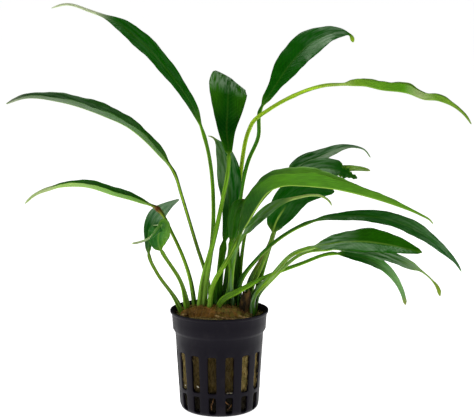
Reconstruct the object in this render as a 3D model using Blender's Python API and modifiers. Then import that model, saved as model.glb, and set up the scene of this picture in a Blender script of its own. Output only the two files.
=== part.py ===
"""A potted anubias: net pot, rock-wool plug, two creeping rhizomes, roots and twenty long-stalked leaves."""

import math
from collections import namedtuple

import bmesh
import bpy
import numpy as np

MM = 0.001
GAP = 0.3

# The pot is a standard 5 cm aquarium net pot. Profiles are (radius, height) in millimetres.
RIM_RADIUS = 25.0
POT_HEIGHT = 51.7
COLLAR_FOOT = 42.3
SHOULDER = 40.3
FOOT_RADIUS = 16.6
FOOT_ROUNDING = 3.6
FLOOR_THICKNESS = 1.2
INNER_WALL = [(17.6, FLOOR_THICKNESS), (19.3, 4.0), (21.5, 40.1), (22.8, 42.5), (23.4, POT_HEIGHT)]
OUTER_WALL = [(24.2, 49.9), (23.7, COLLAR_FOOT), (22.5, SHOULDER), (20.2, FOOT_ROUNDING)]
LIP_HEIGHT = 1.2
TURN_STEPS = 45

# Fifteen tall side slots, a bridge, and fifteen short holes that reach the foot's rounding.
SLOT_COUNT = 15
SLOT_TURN = -9.5
SLOT_WIDTH = 4.5
SLOT_LOW, SLOT_HIGH = 12.6, 31.7
HOLE_WIDTH = 3.8
HOLE_LOW, HOLE_HIGH = 1.8, 10.6
SLOT_REACH = (16.6, 27.0)
DRAIN_COUNT = 5
DRAIN_SIZE = (6.0, 2.4)
DRAIN_RADIUS = 11.5
CUT_MARGIN = 1.0

# The rock-wool plug fills the pot, a little lower than its rim.
PLUG_TOP = 48.9
PLUG_FLAT_RADIUS = 12.0
PLUG_FOOT = 1.5
PLUG_WALL = [(22.7, 48.1), (22.3, 42.7), (21.1, 40.0), (18.9, 4.2), (17.2, PLUG_FOOT)]

# Each rhizome creeps across the plug, half sunk in it.
Rhizome = namedtuple("Rhizome", "name route radius knobs")
FRONT = Rhizome("rhizome_front", [(-19.5, 0, 47.2), (-14, -1.8, 49.1), (-6, -3.5, 49.9), (3, -3.7, 49.9),
                                  (12, -3.4, 49.7), (18.5, -2.6, 48.3)], 4.2, 6)
BACK = Rhizome("rhizome_back", [(-10.5, 7.8, 48.1), (-3, 7.2, 49), (6, 7.4, 49), (14, 7.2, 48.6),
                                (19, 7.0, 47.7)], 3.7, 4)
RHIZOME_STATIONS = 18
KNOB_SWELL = 0.10
END_TAPER = 0.45
END_SHARPNESS = 6

# Roots lie on the plug from a rhizome towards the pot wall.
ROOT_RADIUS = 0.6
ROOT_TAPER = 0.3
ROOTS = {
    "root_left": [(-17, -5.2, 50.1), (-19, -7.5, 50.1), (-18, -10.5, 49.6), (-14, -13, 49.6)],
    "root_front": [(-2, -9, 50.3), (1, -11.5, 49.9), (6, -14, 49.7), (9, -17.5, 49.7)],
    "root_right": [(10, -9, 50.3), (13, -12, 49.9), (17, -12.5, 49.7), (20, -9, 49.7)],
}

# Leaves. Blade is the index of the route's point where the stalk ends. Fold raises both margins above the
# midrib, in degrees, and two values are for the base and the tip. Stalk and sheath are the stalk's radii.
# Then come the route from inside the rhizome to the tip, the blade's half widths at fractions of its
# length, and the ways its upper side looks, from its base to its tip.
Leaf = namedtuple("Leaf", "name host blade fold stalk sheath route line faces")
LEAVES = [
    Leaf("leaf_tall_left", BACK, 4, 14, 1.05, 1.5,
         [(-8.5, 7.6, 49), (-7, 9, 63.3), (-4, 8, 82.3), (-3, 9, 101.7), (-7.7, 20, 137.4),
          (-13, 24, 150.9), (-25, 30, 168.5), (-40, 37, 184.7), (-55.7, 42, 196.1), (-68, 45, 200.9),
          (-80, 47.5, 204.3), (-93, 49, 200.7)],
         [(0.02, 1.4), (0.13, 2.9), (0.21, 3.5), (0.32, 4.8), (0.42, 5.3), (0.52, 5.7), (0.6, 5),
          (0.65, 3.5), (0.69, 2), (0.73, 1), (0.8, 0.85), (0.9, 0.75), (1, 0.35)],
         [(0.6, -0.75, 0.3), (0.45, -0.8, 0.45), (0.2, -0.6, 0.7)]),
    Leaf("leaf_long_left", BACK, 4, 44, 1.1, 1.5,
         [(-3.5, 6.9, 49.2), (-6, 4, 66.1), (-11, 3, 82.7), (-19, -3, 111.7), (-21.8, -7, 121.9),
          (-30, -10, 134.2), (-43, -16, 147.3), (-59.7, -21, 155.8), (-76, -26, 160.9), (-92, -30, 162.2),
          (-104.5, -32, 157.5)],
         [(0.05, 2), (0.13, 4.1), (0.24, 5.1), (0.36, 5.5), (0.45, 6.9), (0.55, 6.3), (0.64, 5.7),
          (0.74, 4.6), (0.85, 2.7), (0.94, 1.3), (1, 0.5)],
         [(0.5, -0.3, 0.8), (0.3, -0.25, 0.9), (0.1, -0.2, 0.97)]),
    Leaf("leaf_low_left", FRONT, 3, 52, 1, 1.5,
         [(-12, -0.6, 49.5), (-15, 2, 67.7), (-24, 6, 89.7), (-31.2, 8, 101.9), (-40.5, 10, 106),
          (-53.5, 14, 109.5), (-70.6, 19, 113.2), (-85.3, 23, 111.2), (-97.6, 27, 105.7), (-104, 28, 99.2)],
         [(0.03, 1.3), (0.07, 1.9), (0.14, 3.2), (0.23, 4.3), (0.32, 4.9), (0.43, 4.4), (0.55, 4),
          (0.66, 2.7), (0.74, 1.4), (0.83, 0.9), (0.92, 0.7), (1, 0.35)],
         [(0.2, -0.2, 0.95), (0, -0.2, 0.98), (-0.3, -0.15, 0.95)]),
    Leaf("leaf_folded_back", FRONT, 3, 12, 0.9, 1.1,
         [(-18.2, -0.7, 48.1), (-22, 2, 55.7), (-32, 8, 68.7), (-36.1, 12, 76.3), (-36.4, 16, 84.4),
          (-33.5, 20, 94.7), (-26.6, 18, 101.6), (-19.5, 15, 106.5)],
         [(0.1, 1.4), (0.24, 2.1), (0.39, 3.5), (0.56, 3.7), (0.68, 2.9), (0.82, 1.7), (0.93, 0.8),
          (1, 0.4)],
         [(-0.4, -0.85, 0.3), (-0.2, -0.95, 0.3), (-0.4, -0.8, 0.5)]),
    Leaf("leaf_folded_front", FRONT, 2, 16, 0.95, 1.3,
         [(-15.6, -2.6, 48.9), (-19, -4.5, 65.7), (-27.2, -10, 82.6), (-27.6, -13, 87.2),
          (-29.2, -16, 90.9), (-32.5, -19, 92.7), (-36.5, -24, 92.7), (-43, -30, 92.6)],
         [(0.05, 1), (0.18, 3.4), (0.34, 4.3), (0.5, 4), (0.62, 2.6), (0.75, 1.3), (0.88, 0.6), (1, 0.35)],
         [(0.2, -0.95, 0.2), (0.1, -0.9, 0.4), (0, -0.85, 0.5)]),
    Leaf("leaf_centre_spoon", FRONT, 3, (10, -14), 1, 1.9,
         [(-9.4, -2.6, 49.5), (-8, -2, 63.7), (0, 4, 99), (4.9, 13, 128), (3.7, 19, 141.1),
          (4.1, 26, 150.7), (4.4, 36, 160.2), (5.3, 50, 164.5), (6.8, 80, 155.2)],
         [(0.02, 1), (0.04, 1.8), (0.1, 3.3), (0.17, 4.8), (0.27, 7.1), (0.35, 8.9), (0.42, 10.1),
          (0.5, 10.8), (0.6, 10.4), (0.75, 8), (0.9, 4), (1, 0.5)],
         [(0, -1, 0.1), (0.35, -0.75, 0.6), (0.7, 0, 1)]),
    Leaf("leaf_centre_back", FRONT, 2, 14, 1.2, 1.6,
         [(-1, -1.8, 50.5), (0, 3, 65.7), (1.8, 9, 81), (3.9, 13, 91.2), (5.1, 17, 102.7),
          (5.1, 22, 113.7), (3.3, 27, 124.7), (-0.4, 31, 132.5), (-4.1, 33, 136), (-9, 34, 136.7)],
         [(0.04, 1.4), (0.15, 2.4), (0.3, 3.7), (0.43, 5.3), (0.5, 6.3), (0.6, 6.5), (0.7, 5.4), (0.79, 4),
          (0.85, 2), (0.89, 0.6), (1, 0.35)],
         [(0.1, -0.95, 0.2), (0.1, -0.95, 0.3), (0.2, -0.8, 0.5)]),
    Leaf("leaf_upper_right", BACK, 5, 10, 1.1, 1.5,
         [(6, 7.2, 49.2), (8, 14, 68.7), (9.5, 26, 93.3), (15, 37, 123.1), (20.3, 40, 135.7),
          (20.8, 40, 147.9), (28.5, 45, 160.7), (37.9, 51, 173.9), (49, 57, 184.2), (62, 62, 189),
          (69.8, 65, 187.7), (71.8, 66, 182.2)],
         [(0.02, 1.2), (0.07, 2.2), (0.2, 4), (0.31, 7), (0.44, 9.2), (0.55, 9.7), (0.65, 8.8),
          (0.74, 6.5), (0.84, 3.6), (0.89, 1.2), (0.92, 0.6), (0.96, 1), (1, 0.6)],
         [(-0.5, -0.8, 0.3), (-0.45, -0.75, 0.5), (-0.1, -0.6, 0.8)]),
    Leaf("leaf_long_bright", BACK, 6, 58, 1.25, 1.4,
         [(1.6, 7.2, 49.2), (5, 11, 72.7), (10.4, 29, 114.1), (15, 31, 139.2), (17.8, 27, 145.2),
          (25, 25, 150.8), (37.5, 18, 158.6), (52, 7, 164.7), (64, -2, 166.5), (69.6, -6, 167.4),
          (80, -13, 166.1), (91, -19, 165.3), (99.4, -24, 162), (105, -28, 161.7), (109.5, -31, 160),
          (117.5, -36, 153.7), (122, -38, 146.2)],
         [(0, 1.2), (0.09, 1), (0.17, 0.75), (0.28, 0.9), (0.33, 2.6), (0.36, 4.6), (0.41, 4.2),
          (0.49, 5.2), (0.57, 5.8), (0.61, 5.9), (0.65, 4.4), (0.72, 4.2), (0.79, 3.5), (0.84, 1.9),
          (0.91, 1.2), (0.96, 0.8), (1, 0.35)],
         [(0.1, 0.1, 0.95), (0, 0.08, 1), (0.3, 0.05, 0.95)]),
    Leaf("leaf_young", FRONT, 2, 20, 1, 1.4,
         [(3.6, -2.2, 50.5), (6, -1, 66.7), (6, 2, 84.7), (7, 5, 93.7), (9, 9, 101.7), (14, 19, 105.7)],
         [(0.05, 1.3), (0.2, 2.4), (0.4, 3.8), (0.55, 4), (0.75, 3.3), (0.9, 1.7), (1, 0.5)],
         [(0.3, -0.9, 0.2), (0.3, -0.8, 0.5), (0.2, -0.4, 0.9)]),
    Leaf("leaf_great_right", FRONT, 3, 60, 1.5, 2.1,
         [(-5.2, -4.2, 49.9), (-3.4, -6, 64.7), (3.5, -8, 77.7), (8, -10, 86.6), (11.5, -12, 96.6),
          (16.6, -15, 108.9), (22, -19, 116.9), (30.1, -24, 121.5), (40.3, -29, 122.7),
          (50.2, -33.5, 122.3), (61, -38, 120), (72, -42, 117.2), (85, -46.5, 112.9), (95, -50, 108.7),
          (99.5, -51.5, 106.2), (103.2, -52.3, 99.7)],
         [(0.02, 2.2), (0.08, 4.8), (0.18, 8.4), (0.25, 8.8), (0.33, 9.4), (0.41, 10), (0.5, 9.9),
          (0.55, 8), (0.6, 6), (0.69, 4.6), (0.8, 2.8), (0.85, 1.8), (0.9, 1), (0.95, 0.55), (1, 0.4)],
         [(-0.75, 0.3, 0.5), (-0.3, 0.02, 1), (0.1, 0.15, 1), (0.2, 0.3, 0.9)]),
    Leaf("leaf_under_great", FRONT, 3, 14, 1.1, 1.5,
         [(5.6, -4.8, 50.5), (6, -4.7, 64.7), (8, -4, 80.7), (10.5, -4, 88.1), (15, -4.5, 93.8),
          (19.5, -6, 99.1), (24.4, -8, 103.7), (29.3, -10, 107.3), (34.2, -12, 109.6), (40, -15, 111.6),
          (45.8, -18, 113), (49.6, -20, 113), (53.4, -22, 111.2), (56.3, -24, 106.5)],
         [(0.03, 1.3), (0.12, 2.4), (0.23, 3.2), (0.34, 3.3), (0.45, 2.6), (0.53, 1.5), (0.6, 0.85),
          (0.7, 0.65), (0.9, 0.6), (1, 0.4)],
         [(-0.5, -0.8, 0.4), (-0.3, -0.7, 0.6), (0.2, -0.4, 0.9)]),
    Leaf("leaf_dark_right", FRONT, 3, 10, 1, 1.4,
         [(12.4, -1.6, 50), (16.4, -0.4, 62.7), (23.5, -0.5, 79.2), (26.7, -0.5, 89), (28.7, -0.5, 96.7),
          (32.2, 0, 102.7), (36.2, 1, 108.1), (41.5, 2, 111.7), (50, 3, 112.7), (60, 4, 111)],
         [(0.03, 1.5), (0.12, 4.5), (0.22, 6.8), (0.35, 8.2), (0.5, 8.5), (0.65, 7.6), (0.8, 5.2),
          (0.92, 2.5), (1, 0.5)],
         [(-0.5, -0.8, 0.3), (-0.3, -0.85, 0.45), (-0.1, -0.7, 0.7)]),
    Leaf("leaf_top_back", BACK, 4, 14, 0.95, 1.3,
         [(17.6, 7, 48.1), (20, 5.5, 62.7), (25, 8, 79.7), (30.5, 13, 96.7), (35.3, 21, 116.2),
          (39.5, 25, 120.7), (44.8, 28, 123.5), (51.2, 31, 125.7), (58.2, 34, 128.3), (65.7, 37, 130.3),
          (71.8, 40, 129.9), (76.2, 42, 128.3), (81, 43, 122.1)],
         [(0.03, 1.6), (0.13, 4.6), (0.25, 5.4), (0.38, 5.2), (0.5, 3.8), (0.67, 2.2), (0.79, 1.4),
          (0.87, 0.8), (1, 0.35)],
         [(-0.3, -0.6, 0.75), (0, -0.55, 0.85), (0.3, -0.3, 0.9)]),
    Leaf("leaf_ragged_back", BACK, 3, 12, 0.95, 1.3,
         [(13.7, 7.3, 48.7), (15, 6.5, 62.7), (24, 11, 79.7), (35.9, 17, 106.1), (40, 16, 113.6),
          (44, 14.5, 118.7), (49.1, 13.5, 121.3), (54.6, 12, 122.4), (60.7, 10, 121.3), (65.7, 9, 119.2),
          (71.7, 8, 117.1)],
         [(0.03, 1.6), (0.15, 4), (0.3, 6), (0.45, 7), (0.6, 7), (0.75, 6), (0.86, 4.4), (0.93, 2.6),
          (1, 0.8)],
         [(-0.2, -0.7, 0.7), (0.1, -0.65, 0.75), (0.2, -0.6, 0.75)]),
    Leaf("leaf_slim_back", BACK, 3, 14, 0.9, 1.2,
         [(10, 7.8, 48.9), (11, 14, 72.7), (17, 24, 96.7), (34, 31, 113.7), (57.6, 31, 118.1),
          (65.4, 30, 119.4), (72, 28, 119.9), (80, 26, 118.9)],
         [(0.05, 1.2), (0.3, 2.4), (0.6, 3.4), (0.75, 3), (0.9, 1.6), (1, 0.5)],
         [(0, -0.5, 0.85), (0, -0.5, 0.85), (0, -0.5, 0.85)]),
    Leaf("leaf_right_arch", FRONT, 4, 14, 1.05, 1.4,
         [(9.4, -4, 50.4), (10, -4.2, 64.7), (20, -5.5, 79.7), (34.3, -6, 92), (43, -6, 96.6),
          (52, -6, 99.4), (61.5, -5, 100.1), (74.6, -4, 100.2), (89.3, -3, 97.2), (98.1, -2, 93.3),
          (106.4, -1, 87.8), (113.7, 0, 81.7), (120.1, 1, 75.3), (124.8, 2, 67.5)],
         [(0.03, 1.3), (0.1, 1.9), (0.2, 2.7), (0.27, 3.5), (0.34, 4.1), (0.42, 4.3), (0.5, 4.7),
          (0.57, 5), (0.64, 4.7), (0.72, 4), (0.79, 3), (0.87, 1.8), (0.93, 1), (1, 0.35)],
         [(-0.2, -0.6, 0.8), (0.1, -0.7, 0.7), (0.5, -0.6, 0.6)]),
    Leaf("leaf_broad_right", FRONT, 4, 16, 1.2, 2.4,
         [(16.6, -4.2, 49.3), (17, -5.2, 58.7), (26, -7.5, 69.7), (38.9, -10, 83.1), (44.4, -11, 85),
          (52.6, -14, 87.6), (62.2, -18, 89.9), (72.2, -22, 90.8), (84.6, -26, 89.6), (92.9, -30, 88.1),
          (100.9, -32, 86.5)],
         [(0.03, 1.5), (0.1, 2.6), (0.19, 4.6), (0.32, 6.2), (0.4, 6.7), (0.5, 7.8), (0.64, 7),
          (0.75, 5.4), (0.84, 3.8), (0.92, 2.2), (0.97, 1), (1, 0.4)],
         [(-0.1, -0.6, 0.8), (0, -0.7, 0.7), (0.1, -0.7, 0.7)]),
    Leaf("leaf_hanging", FRONT, 5, 14, 1, 1.4,
         [(-1.8, -5.8, 49.7), (0.5, -7.3, 59.2), (9.5, -8.3, 64.4), (21.6, -4, 68.8), (41.2, 6, 73.8),
          (57.9, 12, 78.1), (67.4, 16, 76.3), (77, 18, 74), (85.4, 19, 69.6), (91.4, 20, 63),
          (95.1, 20, 56.1), (97.5, 19, 47.3)],
         [(0.03, 1.2), (0.18, 2.8), (0.36, 3.9), (0.45, 4.2), (0.54, 3.2), (0.7, 2.2), (0.85, 1.6),
          (0.94, 1.3), (1, 0.9)],
         [(0.1, -0.6, 0.8), (0.35, -0.7, 0.6), (0.5, -0.8, 0.3)]),
    Leaf("leaf_far_right", FRONT, 4, 14, 0.95, 1.2,
         [(18, -0.3, 48.9), (20, -1.4, 59.7), (26.3, -3.2, 67.3), (45, -1.2, 81.7), (53.9, -1, 82.6),
          (63.8, 2, 82.9), (74, 5, 81.2), (87.3, 8, 77), (97, 10, 72.7), (101.6, 11, 70.4),
          (109, 12, 64.7), (112.3, 12.5, 60.4), (114.8, 13, 52.7)],
         [(0.03, 1.2), (0.15, 3.2), (0.3, 4.3), (0.5, 4.3), (0.6, 3.8), (0.66, 2.8), (0.71, 1.2),
          (0.76, 0.6), (0.84, 0.6), (0.88, 1.5), (0.94, 1.7), (1, 1.1)],
         [(0, -0.6, 0.8), (0.2, -0.6, 0.75), (0.5, -0.6, 0.6)]),
]
BLADE_THICKNESS = 0.8
STALK_STEP = 16.0
BLADE_STATIONS = 13
SECTION_SIDES = 6
STALK_BLEND = 0.12
TIP_FRACTION = 0.04
TIP_HALF_WIDTH = 0.4
FOLD_MIDDLE = 0.5

# A dried leaf base still stands on the front rhizome.
DRY_BASE_ROUTE = [(12.4, -6.0, 51.2), (12.8, -7.0, 56.2), (13.4, -7.6, 61.2)]
DRY_BASE_WIDTHS = [1.7, 2.0, 0.7]
DRY_BASE_THICKNESS = [1.2, 0.9, 0.3]
DRY_BASE_SIDES = 8

COLOURS = {
    "pot": ((0.016, 0.015, 0.020), 0.42),
    "plug": ((0.16, 0.11, 0.04), 0.95),
    "rhizome": ((0.13, 0.07, 0.02), 0.7),
    "root": ((0.35, 0.25, 0.12), 0.8),
    "dry": ((0.12, 0.04, 0.015), 0.8),
    "leaf": ((0.035, 0.15, 0.012), 0.35),
    "bright": ((0.15, 0.32, 0.03), 0.4),
}
BRIGHT_LEAVES = ("leaf_great_right", "leaf_long_bright", "leaf_young")


def clear_scene():
    for obj in list(bpy.data.objects):
        bpy.data.objects.remove(obj, do_unlink=True)


def new_collection(name):
    made = bpy.data.collections.new(name)
    bpy.context.scene.collection.children.link(made)
    return made


def make_material(name, colour, roughness):
    material = bpy.data.materials.new(name)
    material.use_nodes = True
    shader = material.node_tree.nodes["Principled BSDF"]
    shader.inputs["Base Color"].default_value = (*colour, 1.0)
    shader.inputs["Roughness"].default_value = roughness
    shader.inputs["Metallic"].default_value = 0.0
    return material


def add_part(name, data, material):
    obj = bpy.data.objects.new(name, data)
    parts.objects.link(obj)
    obj.data.materials.append(material)
    return obj


def add_cutter(name, mesh):
    obj = bpy.data.objects.new(name, mesh)
    cutters.objects.link(obj)
    obj.hide_render = True
    obj.display_type = "WIRE"
    return obj


def cut(obj, cutter):
    boolean = obj.modifiers.new("cut_" + cutter.name, "BOOLEAN")
    boolean.operation = "DIFFERENCE"
    boolean.solver = "EXACT"
    boolean.object = cutter


def turned(name, profile, material):
    """A profile of (radius, height) in millimetres, turned about Z by a Screw modifier."""
    mesh = bpy.data.meshes.new(name)
    points = [(radius * MM, 0, height * MM) for radius, height in profile]
    mesh.from_pydata(points, [(i, i + 1) for i in range(len(points) - 1)], [])
    obj = add_part(name, mesh, material)
    screw = obj.modifiers.new("turn", "SCREW")
    screw.axis = "Z"
    screw.steps = TURN_STEPS
    screw.render_steps = TURN_STEPS
    screw.use_merge_vertices = True
    screw.merge_threshold = 0.00001
    screw.use_smooth_shade = True
    return obj


def foot_arc(count=4):
    """The quarter round between the pot's wall and its flat foot, from the wall down."""
    wall = OUTER_WALL[-1][0]
    for i in range(1, count + 1):
        angle = math.pi / 2 * i / count
        yield (FOOT_RADIUS + (wall - FOOT_RADIUS) * math.cos(angle), FOOT_ROUNDING * (1 - math.sin(angle)))


def box_ring(bm, count, first_turn, radii, width, low, high):
    """Boxes set radially around the pot, each between two radii and two heights."""
    for i in range(count):
        made = bmesh.ops.create_cube(bm, size=1.0)["verts"]
        turn = math.radians(first_turn + 360.0 * i / count)
        middle = (radii[0] + radii[1]) / 2
        for vertex in made:
            along = middle + vertex.co.x * (radii[1] - radii[0])
            across = vertex.co.y * width
            height = (low + high) / 2 + vertex.co.z * (high - low)
            # A turn of 0 faces -Y, and a positive turn goes towards +X.
            vertex.co = (
                (along * math.sin(turn) + across * math.cos(turn)) * MM,
                (across * math.sin(turn) - along * math.cos(turn)) * MM,
                height * MM,
            )


def slot_cutter():
    bm = bmesh.new()
    box_ring(bm, SLOT_COUNT, SLOT_TURN, SLOT_REACH, SLOT_WIDTH, SLOT_LOW, SLOT_HIGH)
    box_ring(bm, SLOT_COUNT, SLOT_TURN, SLOT_REACH, HOLE_WIDTH, HOLE_LOW, HOLE_HIGH)
    drain_reach = (DRAIN_RADIUS - DRAIN_SIZE[0] / 2, DRAIN_RADIUS + DRAIN_SIZE[0] / 2)
    box_ring(bm, DRAIN_COUNT, 0.0, drain_reach, DRAIN_SIZE[1], -CUT_MARGIN, FLOOR_THICKNESS + CUT_MARGIN)
    bmesh.ops.recalc_face_normals(bm, faces=bm.faces)
    mesh = bpy.data.meshes.new("slot_boxes")
    bm.to_mesh(mesh)
    bm.free()
    return add_cutter("slot_boxes", mesh)


def make_pot():
    inside = [(0, FLOOR_THICKNESS)] + INNER_WALL
    lip = [(RIM_RADIUS, POT_HEIGHT), (RIM_RADIUS, POT_HEIGHT - LIP_HEIGHT)]
    profile = inside + lip + OUTER_WALL + list(foot_arc()) + [(0, 0)]
    pot = turned("pot", profile, materials["pot"])
    cut(pot, slot_cutter())


def make_plug(rhizome_cutters):
    profile = [(0, PLUG_TOP), (PLUG_FLAT_RADIUS, PLUG_TOP)] + PLUG_WALL + [(0, PLUG_FOOT)]
    plug = turned("growing_medium", profile, materials["plug"])
    for cutter in rhizome_cutters:
        cut(plug, cutter)


def curve_through(points, count=None, at=None):
    """Points on a smooth curve through the given ones: cubic pieces whose slopes are averaged chords."""
    points = np.array(points, float)
    knots = np.concatenate([[0.0], np.cumsum(np.linalg.norm(np.diff(points, axis=0), axis=1))])
    slopes = np.gradient(points, knots, axis=0)
    place = np.linspace(0, knots[-1], count) if at is None else np.asarray(at) * knots[-1]
    first = np.clip(np.searchsorted(knots, place, side="right") - 1, 0, len(knots) - 2)
    span = (knots[first + 1] - knots[first])[:, None]
    s = (place[:, None] - knots[first][:, None]) / span
    here = (1 + 2 * s) * (1 - s) ** 2 * points[first] + s * (1 - s) ** 2 * span * slopes[first]
    there = s * s * (3 - 2 * s) * points[first + 1] + s * s * (s - 1) * span * slopes[first + 1]
    return here + there


def tube_mesh(name, points, radii, resolution):
    """A curve with a bevel, its radius given at each point, turned into a welded closed mesh. Millimetres."""
    curve = bpy.data.curves.new(name + "_curve", "CURVE")
    curve.dimensions = "3D"
    curve.bevel_depth = MM
    curve.bevel_resolution = resolution
    curve.use_fill_caps = True
    spline = curve.splines.new("POLY")
    spline.points.add(len(points) - 1)
    for point, place, radius in zip(spline.points, points, radii):
        point.co = (*(float(value) * MM for value in place), 1)
        point.radius = float(radius)
    carrier = bpy.data.objects.new(name + "_curve", curve)
    bpy.context.scene.collection.objects.link(carrier)
    evaluated = carrier.evaluated_get(bpy.context.evaluated_depsgraph_get())
    mesh = bpy.data.meshes.new_from_object(evaluated)
    bpy.data.objects.remove(carrier)
    bm = bmesh.new()
    bm.from_mesh(mesh)
    bmesh.ops.remove_doubles(bm, verts=bm.verts, dist=0.000001)
    bmesh.ops.recalc_face_normals(bm, faces=bm.faces)
    bm.to_mesh(mesh)
    bm.free()
    mesh.materials.clear()
    return mesh


def make_rhizome(rhizome):
    """The rhizome, knobbly where old leaves fell and narrower at its ends, and a cutter one gap larger."""
    along = np.linspace(0, 1, RHIZOME_STATIONS)
    knobs = 1 + KNOB_SWELL * np.abs(np.sin(math.pi * rhizome.knobs * along))
    ends = 1 - END_TAPER * np.abs(2 * along - 1) ** END_SHARPNESS
    radii = rhizome.radius * knobs * ends / (1 + KNOB_SWELL)
    points = curve_through(rhizome.route, at=along)
    add_part(rhizome.name, tube_mesh(rhizome.name, points, radii, 3), materials["rhizome"])
    outward = np.zeros_like(points)
    outward[0] = (points[0] - points[1]) / np.linalg.norm(points[0] - points[1])
    outward[-1] = (points[-1] - points[-2]) / np.linalg.norm(points[-1] - points[-2])
    grown = tube_mesh(rhizome.name + "_bed", points + outward * GAP, radii + GAP, 3)
    return add_cutter(rhizome.name + "_bed", grown)


def make_root(name, route):
    points = curve_through(route, count=9)
    radii = ROOT_RADIUS * np.linspace(1.0, 1.0 - ROOT_TAPER, len(points))
    add_part(name, tube_mesh(name, points, radii, 2), materials["root"])


def loft(name, rings, material):
    """A closed skin over rings of points that run from base to tip, each ring closed by the next."""
    rings = np.array(rings) * MM
    count, sides, _ = rings.shape
    faces = []
    for low in range(0, (count - 1) * sides, sides):
        for i in range(sides):
            j = (i + 1) % sides
            faces.append((low + i, low + j, low + sides + j, low + sides + i))
    faces.append(tuple(range(sides)))
    faces.append(tuple(range((count - 1) * sides, count * sides)))
    mesh = bpy.data.meshes.new(name)
    mesh.from_pydata(rings.reshape(-1, 3).tolist(), [], faces)
    bm = bmesh.new()
    bm.from_mesh(mesh)
    bmesh.ops.recalc_face_normals(bm, faces=bm.faces)
    bmesh.ops.triangulate(bm, faces=bm.faces)
    bm.to_mesh(mesh)
    bm.free()
    mesh.shade_smooth()
    return add_part(name, mesh, material)


def unit(vectors):
    return vectors / np.linalg.norm(vectors, axis=-1, keepdims=True)


def carried_frames(points, blade_first, u, faces):
    """Side and up directions at each station. The blade's up follows its faces, the stalk carries it down."""
    tangents = unit(np.gradient(points, axis=0))
    keys = np.linspace(0, 1, len(faces))
    wanted = np.stack([np.interp(u, keys, column) for column in np.array(faces, float).T], axis=1)
    ups = np.zeros_like(points)
    ups[blade_first:] = wanted
    for i in range(len(points) - 1, -1, -1):
        start = ups[i] if i >= blade_first else ups[i + 1]
        ups[i] = unit(start - tangents[i] * np.dot(start, tangents[i]))
    return np.cross(tangents, ups), ups


def blade_stations(leaf):
    """Where the sections stand, as fractions of the route, and how far each is along the blade.

    The stalk has a section at each of its route's points, and more where those are far apart.
    """
    route = np.array(leaf.route, float)
    steps = np.concatenate([[0.0], np.cumsum(np.linalg.norm(np.diff(route, axis=0), axis=1))])
    blade_start = steps[leaf.blade] / steps[-1]
    u_blade = (1 - np.cos(np.linspace(0, math.pi, BLADE_STATIONS))) / 2
    u_blade = u_blade * (1 - TIP_FRACTION)
    runs = [
        np.linspace(low, high, math.ceil((high - low) / STALK_STEP), endpoint=False)
        for low, high in zip(steps[:leaf.blade], steps[1:leaf.blade + 1])
    ]
    along_stalk = np.concatenate(runs) / steps[-1]
    along_blade = blade_start + (1 - blade_start) * u_blade
    return along_stalk, np.concatenate([along_stalk, along_blade]), u_blade


def make_leaf(leaf):
    along_stalk, stations, u_blade = blade_stations(leaf)
    points = curve_through(leaf.route, at=stations)
    u = np.concatenate([np.zeros(len(along_stalk)), u_blade])
    sides, ups = carried_frames(points, len(along_stalk), u_blade, leaf.faces)

    down = 1 - stations / stations[len(along_stalk)]
    round_radius = leaf.stalk + (leaf.sheath - leaf.stalk) * np.clip(down, 0, 1) ** 2
    flat = np.clip(u / STALK_BLEND, 0, 1)
    places, widths = zip(*leaf.line)
    half_width = np.interp(u, places, widths) * flat
    half_width = np.maximum(half_width, round_radius * (1 - flat) + TIP_HALF_WIDTH * flat)
    half_thickness = round_radius * (1 - flat) + BLADE_THICKNESS / 2 * flat
    folds = np.atleast_1d(leaf.fold)
    tilt = np.radians(np.interp(u, np.linspace(0, 1, len(folds)), folds)) * flat

    angles = np.linspace(0, 2 * math.pi, SECTION_SIDES, endpoint=False)
    across = np.cos(angles)[None, :] * (half_width * np.cos(tilt))[:, None]
    lift = np.sin(angles)[None, :] * half_thickness[:, None]
    # The route runs through the middle of the folded blade's height, so its midrib lies below the route.
    lift = lift + (np.abs(np.cos(angles)) - FOLD_MIDDLE)[None, :] * (half_width * np.sin(tilt))[:, None]
    rings = points[:, None, :] + across[..., None] * sides[:, None, :] + lift[..., None] * ups[:, None, :]
    colour = "bright" if leaf.name in BRIGHT_LEAVES else "leaf"
    made = loft(leaf.name, rings, materials[colour])
    cut(made, beds[leaf.host.name])


def make_dry_base():
    """A flattened brown stub of sheath."""
    points = curve_through(DRY_BASE_ROUTE, count=5)
    keys = np.linspace(0, 1, len(DRY_BASE_WIDTHS))
    along = np.linspace(0, 1, len(points))
    widths = np.interp(along, keys, DRY_BASE_WIDTHS)
    depths = np.interp(along, keys, DRY_BASE_THICKNESS)
    angles = np.linspace(0, 2 * math.pi, DRY_BASE_SIDES, endpoint=False)
    ring = np.stack([np.cos(angles), np.sin(angles), np.zeros(DRY_BASE_SIDES)], axis=1)
    scales = np.stack([widths, depths, np.zeros(len(points))], axis=1)
    rings = points[:, None, :] + ring[None, :, :] * scales[:, None, :]
    made = loft("dry_leaf_base", rings, materials["dry"])
    cut(made, beds["rhizome_front"])


clear_scene()
parts = new_collection("potted_anubias")
cutters = new_collection("cutters")
materials = {name: make_material(name, *look) for name, look in COLOURS.items()}
beds = {rhizome.name: make_rhizome(rhizome) for rhizome in (FRONT, BACK)}
make_pot()
make_plug(beds.values())
for root_name, root_route in ROOTS.items():
    make_root(root_name, root_route)
for each_leaf in LEAVES:
    make_leaf(each_leaf)
make_dry_base()
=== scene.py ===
# %% [markdown]
# # A potted anubias
#
# An anubias is a slow aquarium plant. Its leaves stand on long stalks along a thick creeping
# stem, the rhizome, and it is sold in a small slotted net pot filled with rock wool.
# The CAD model gives every piece its place and its main shape. This lesson lays a finer surface
# over each of them and gives it the finish of the living plant.

import math

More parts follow.
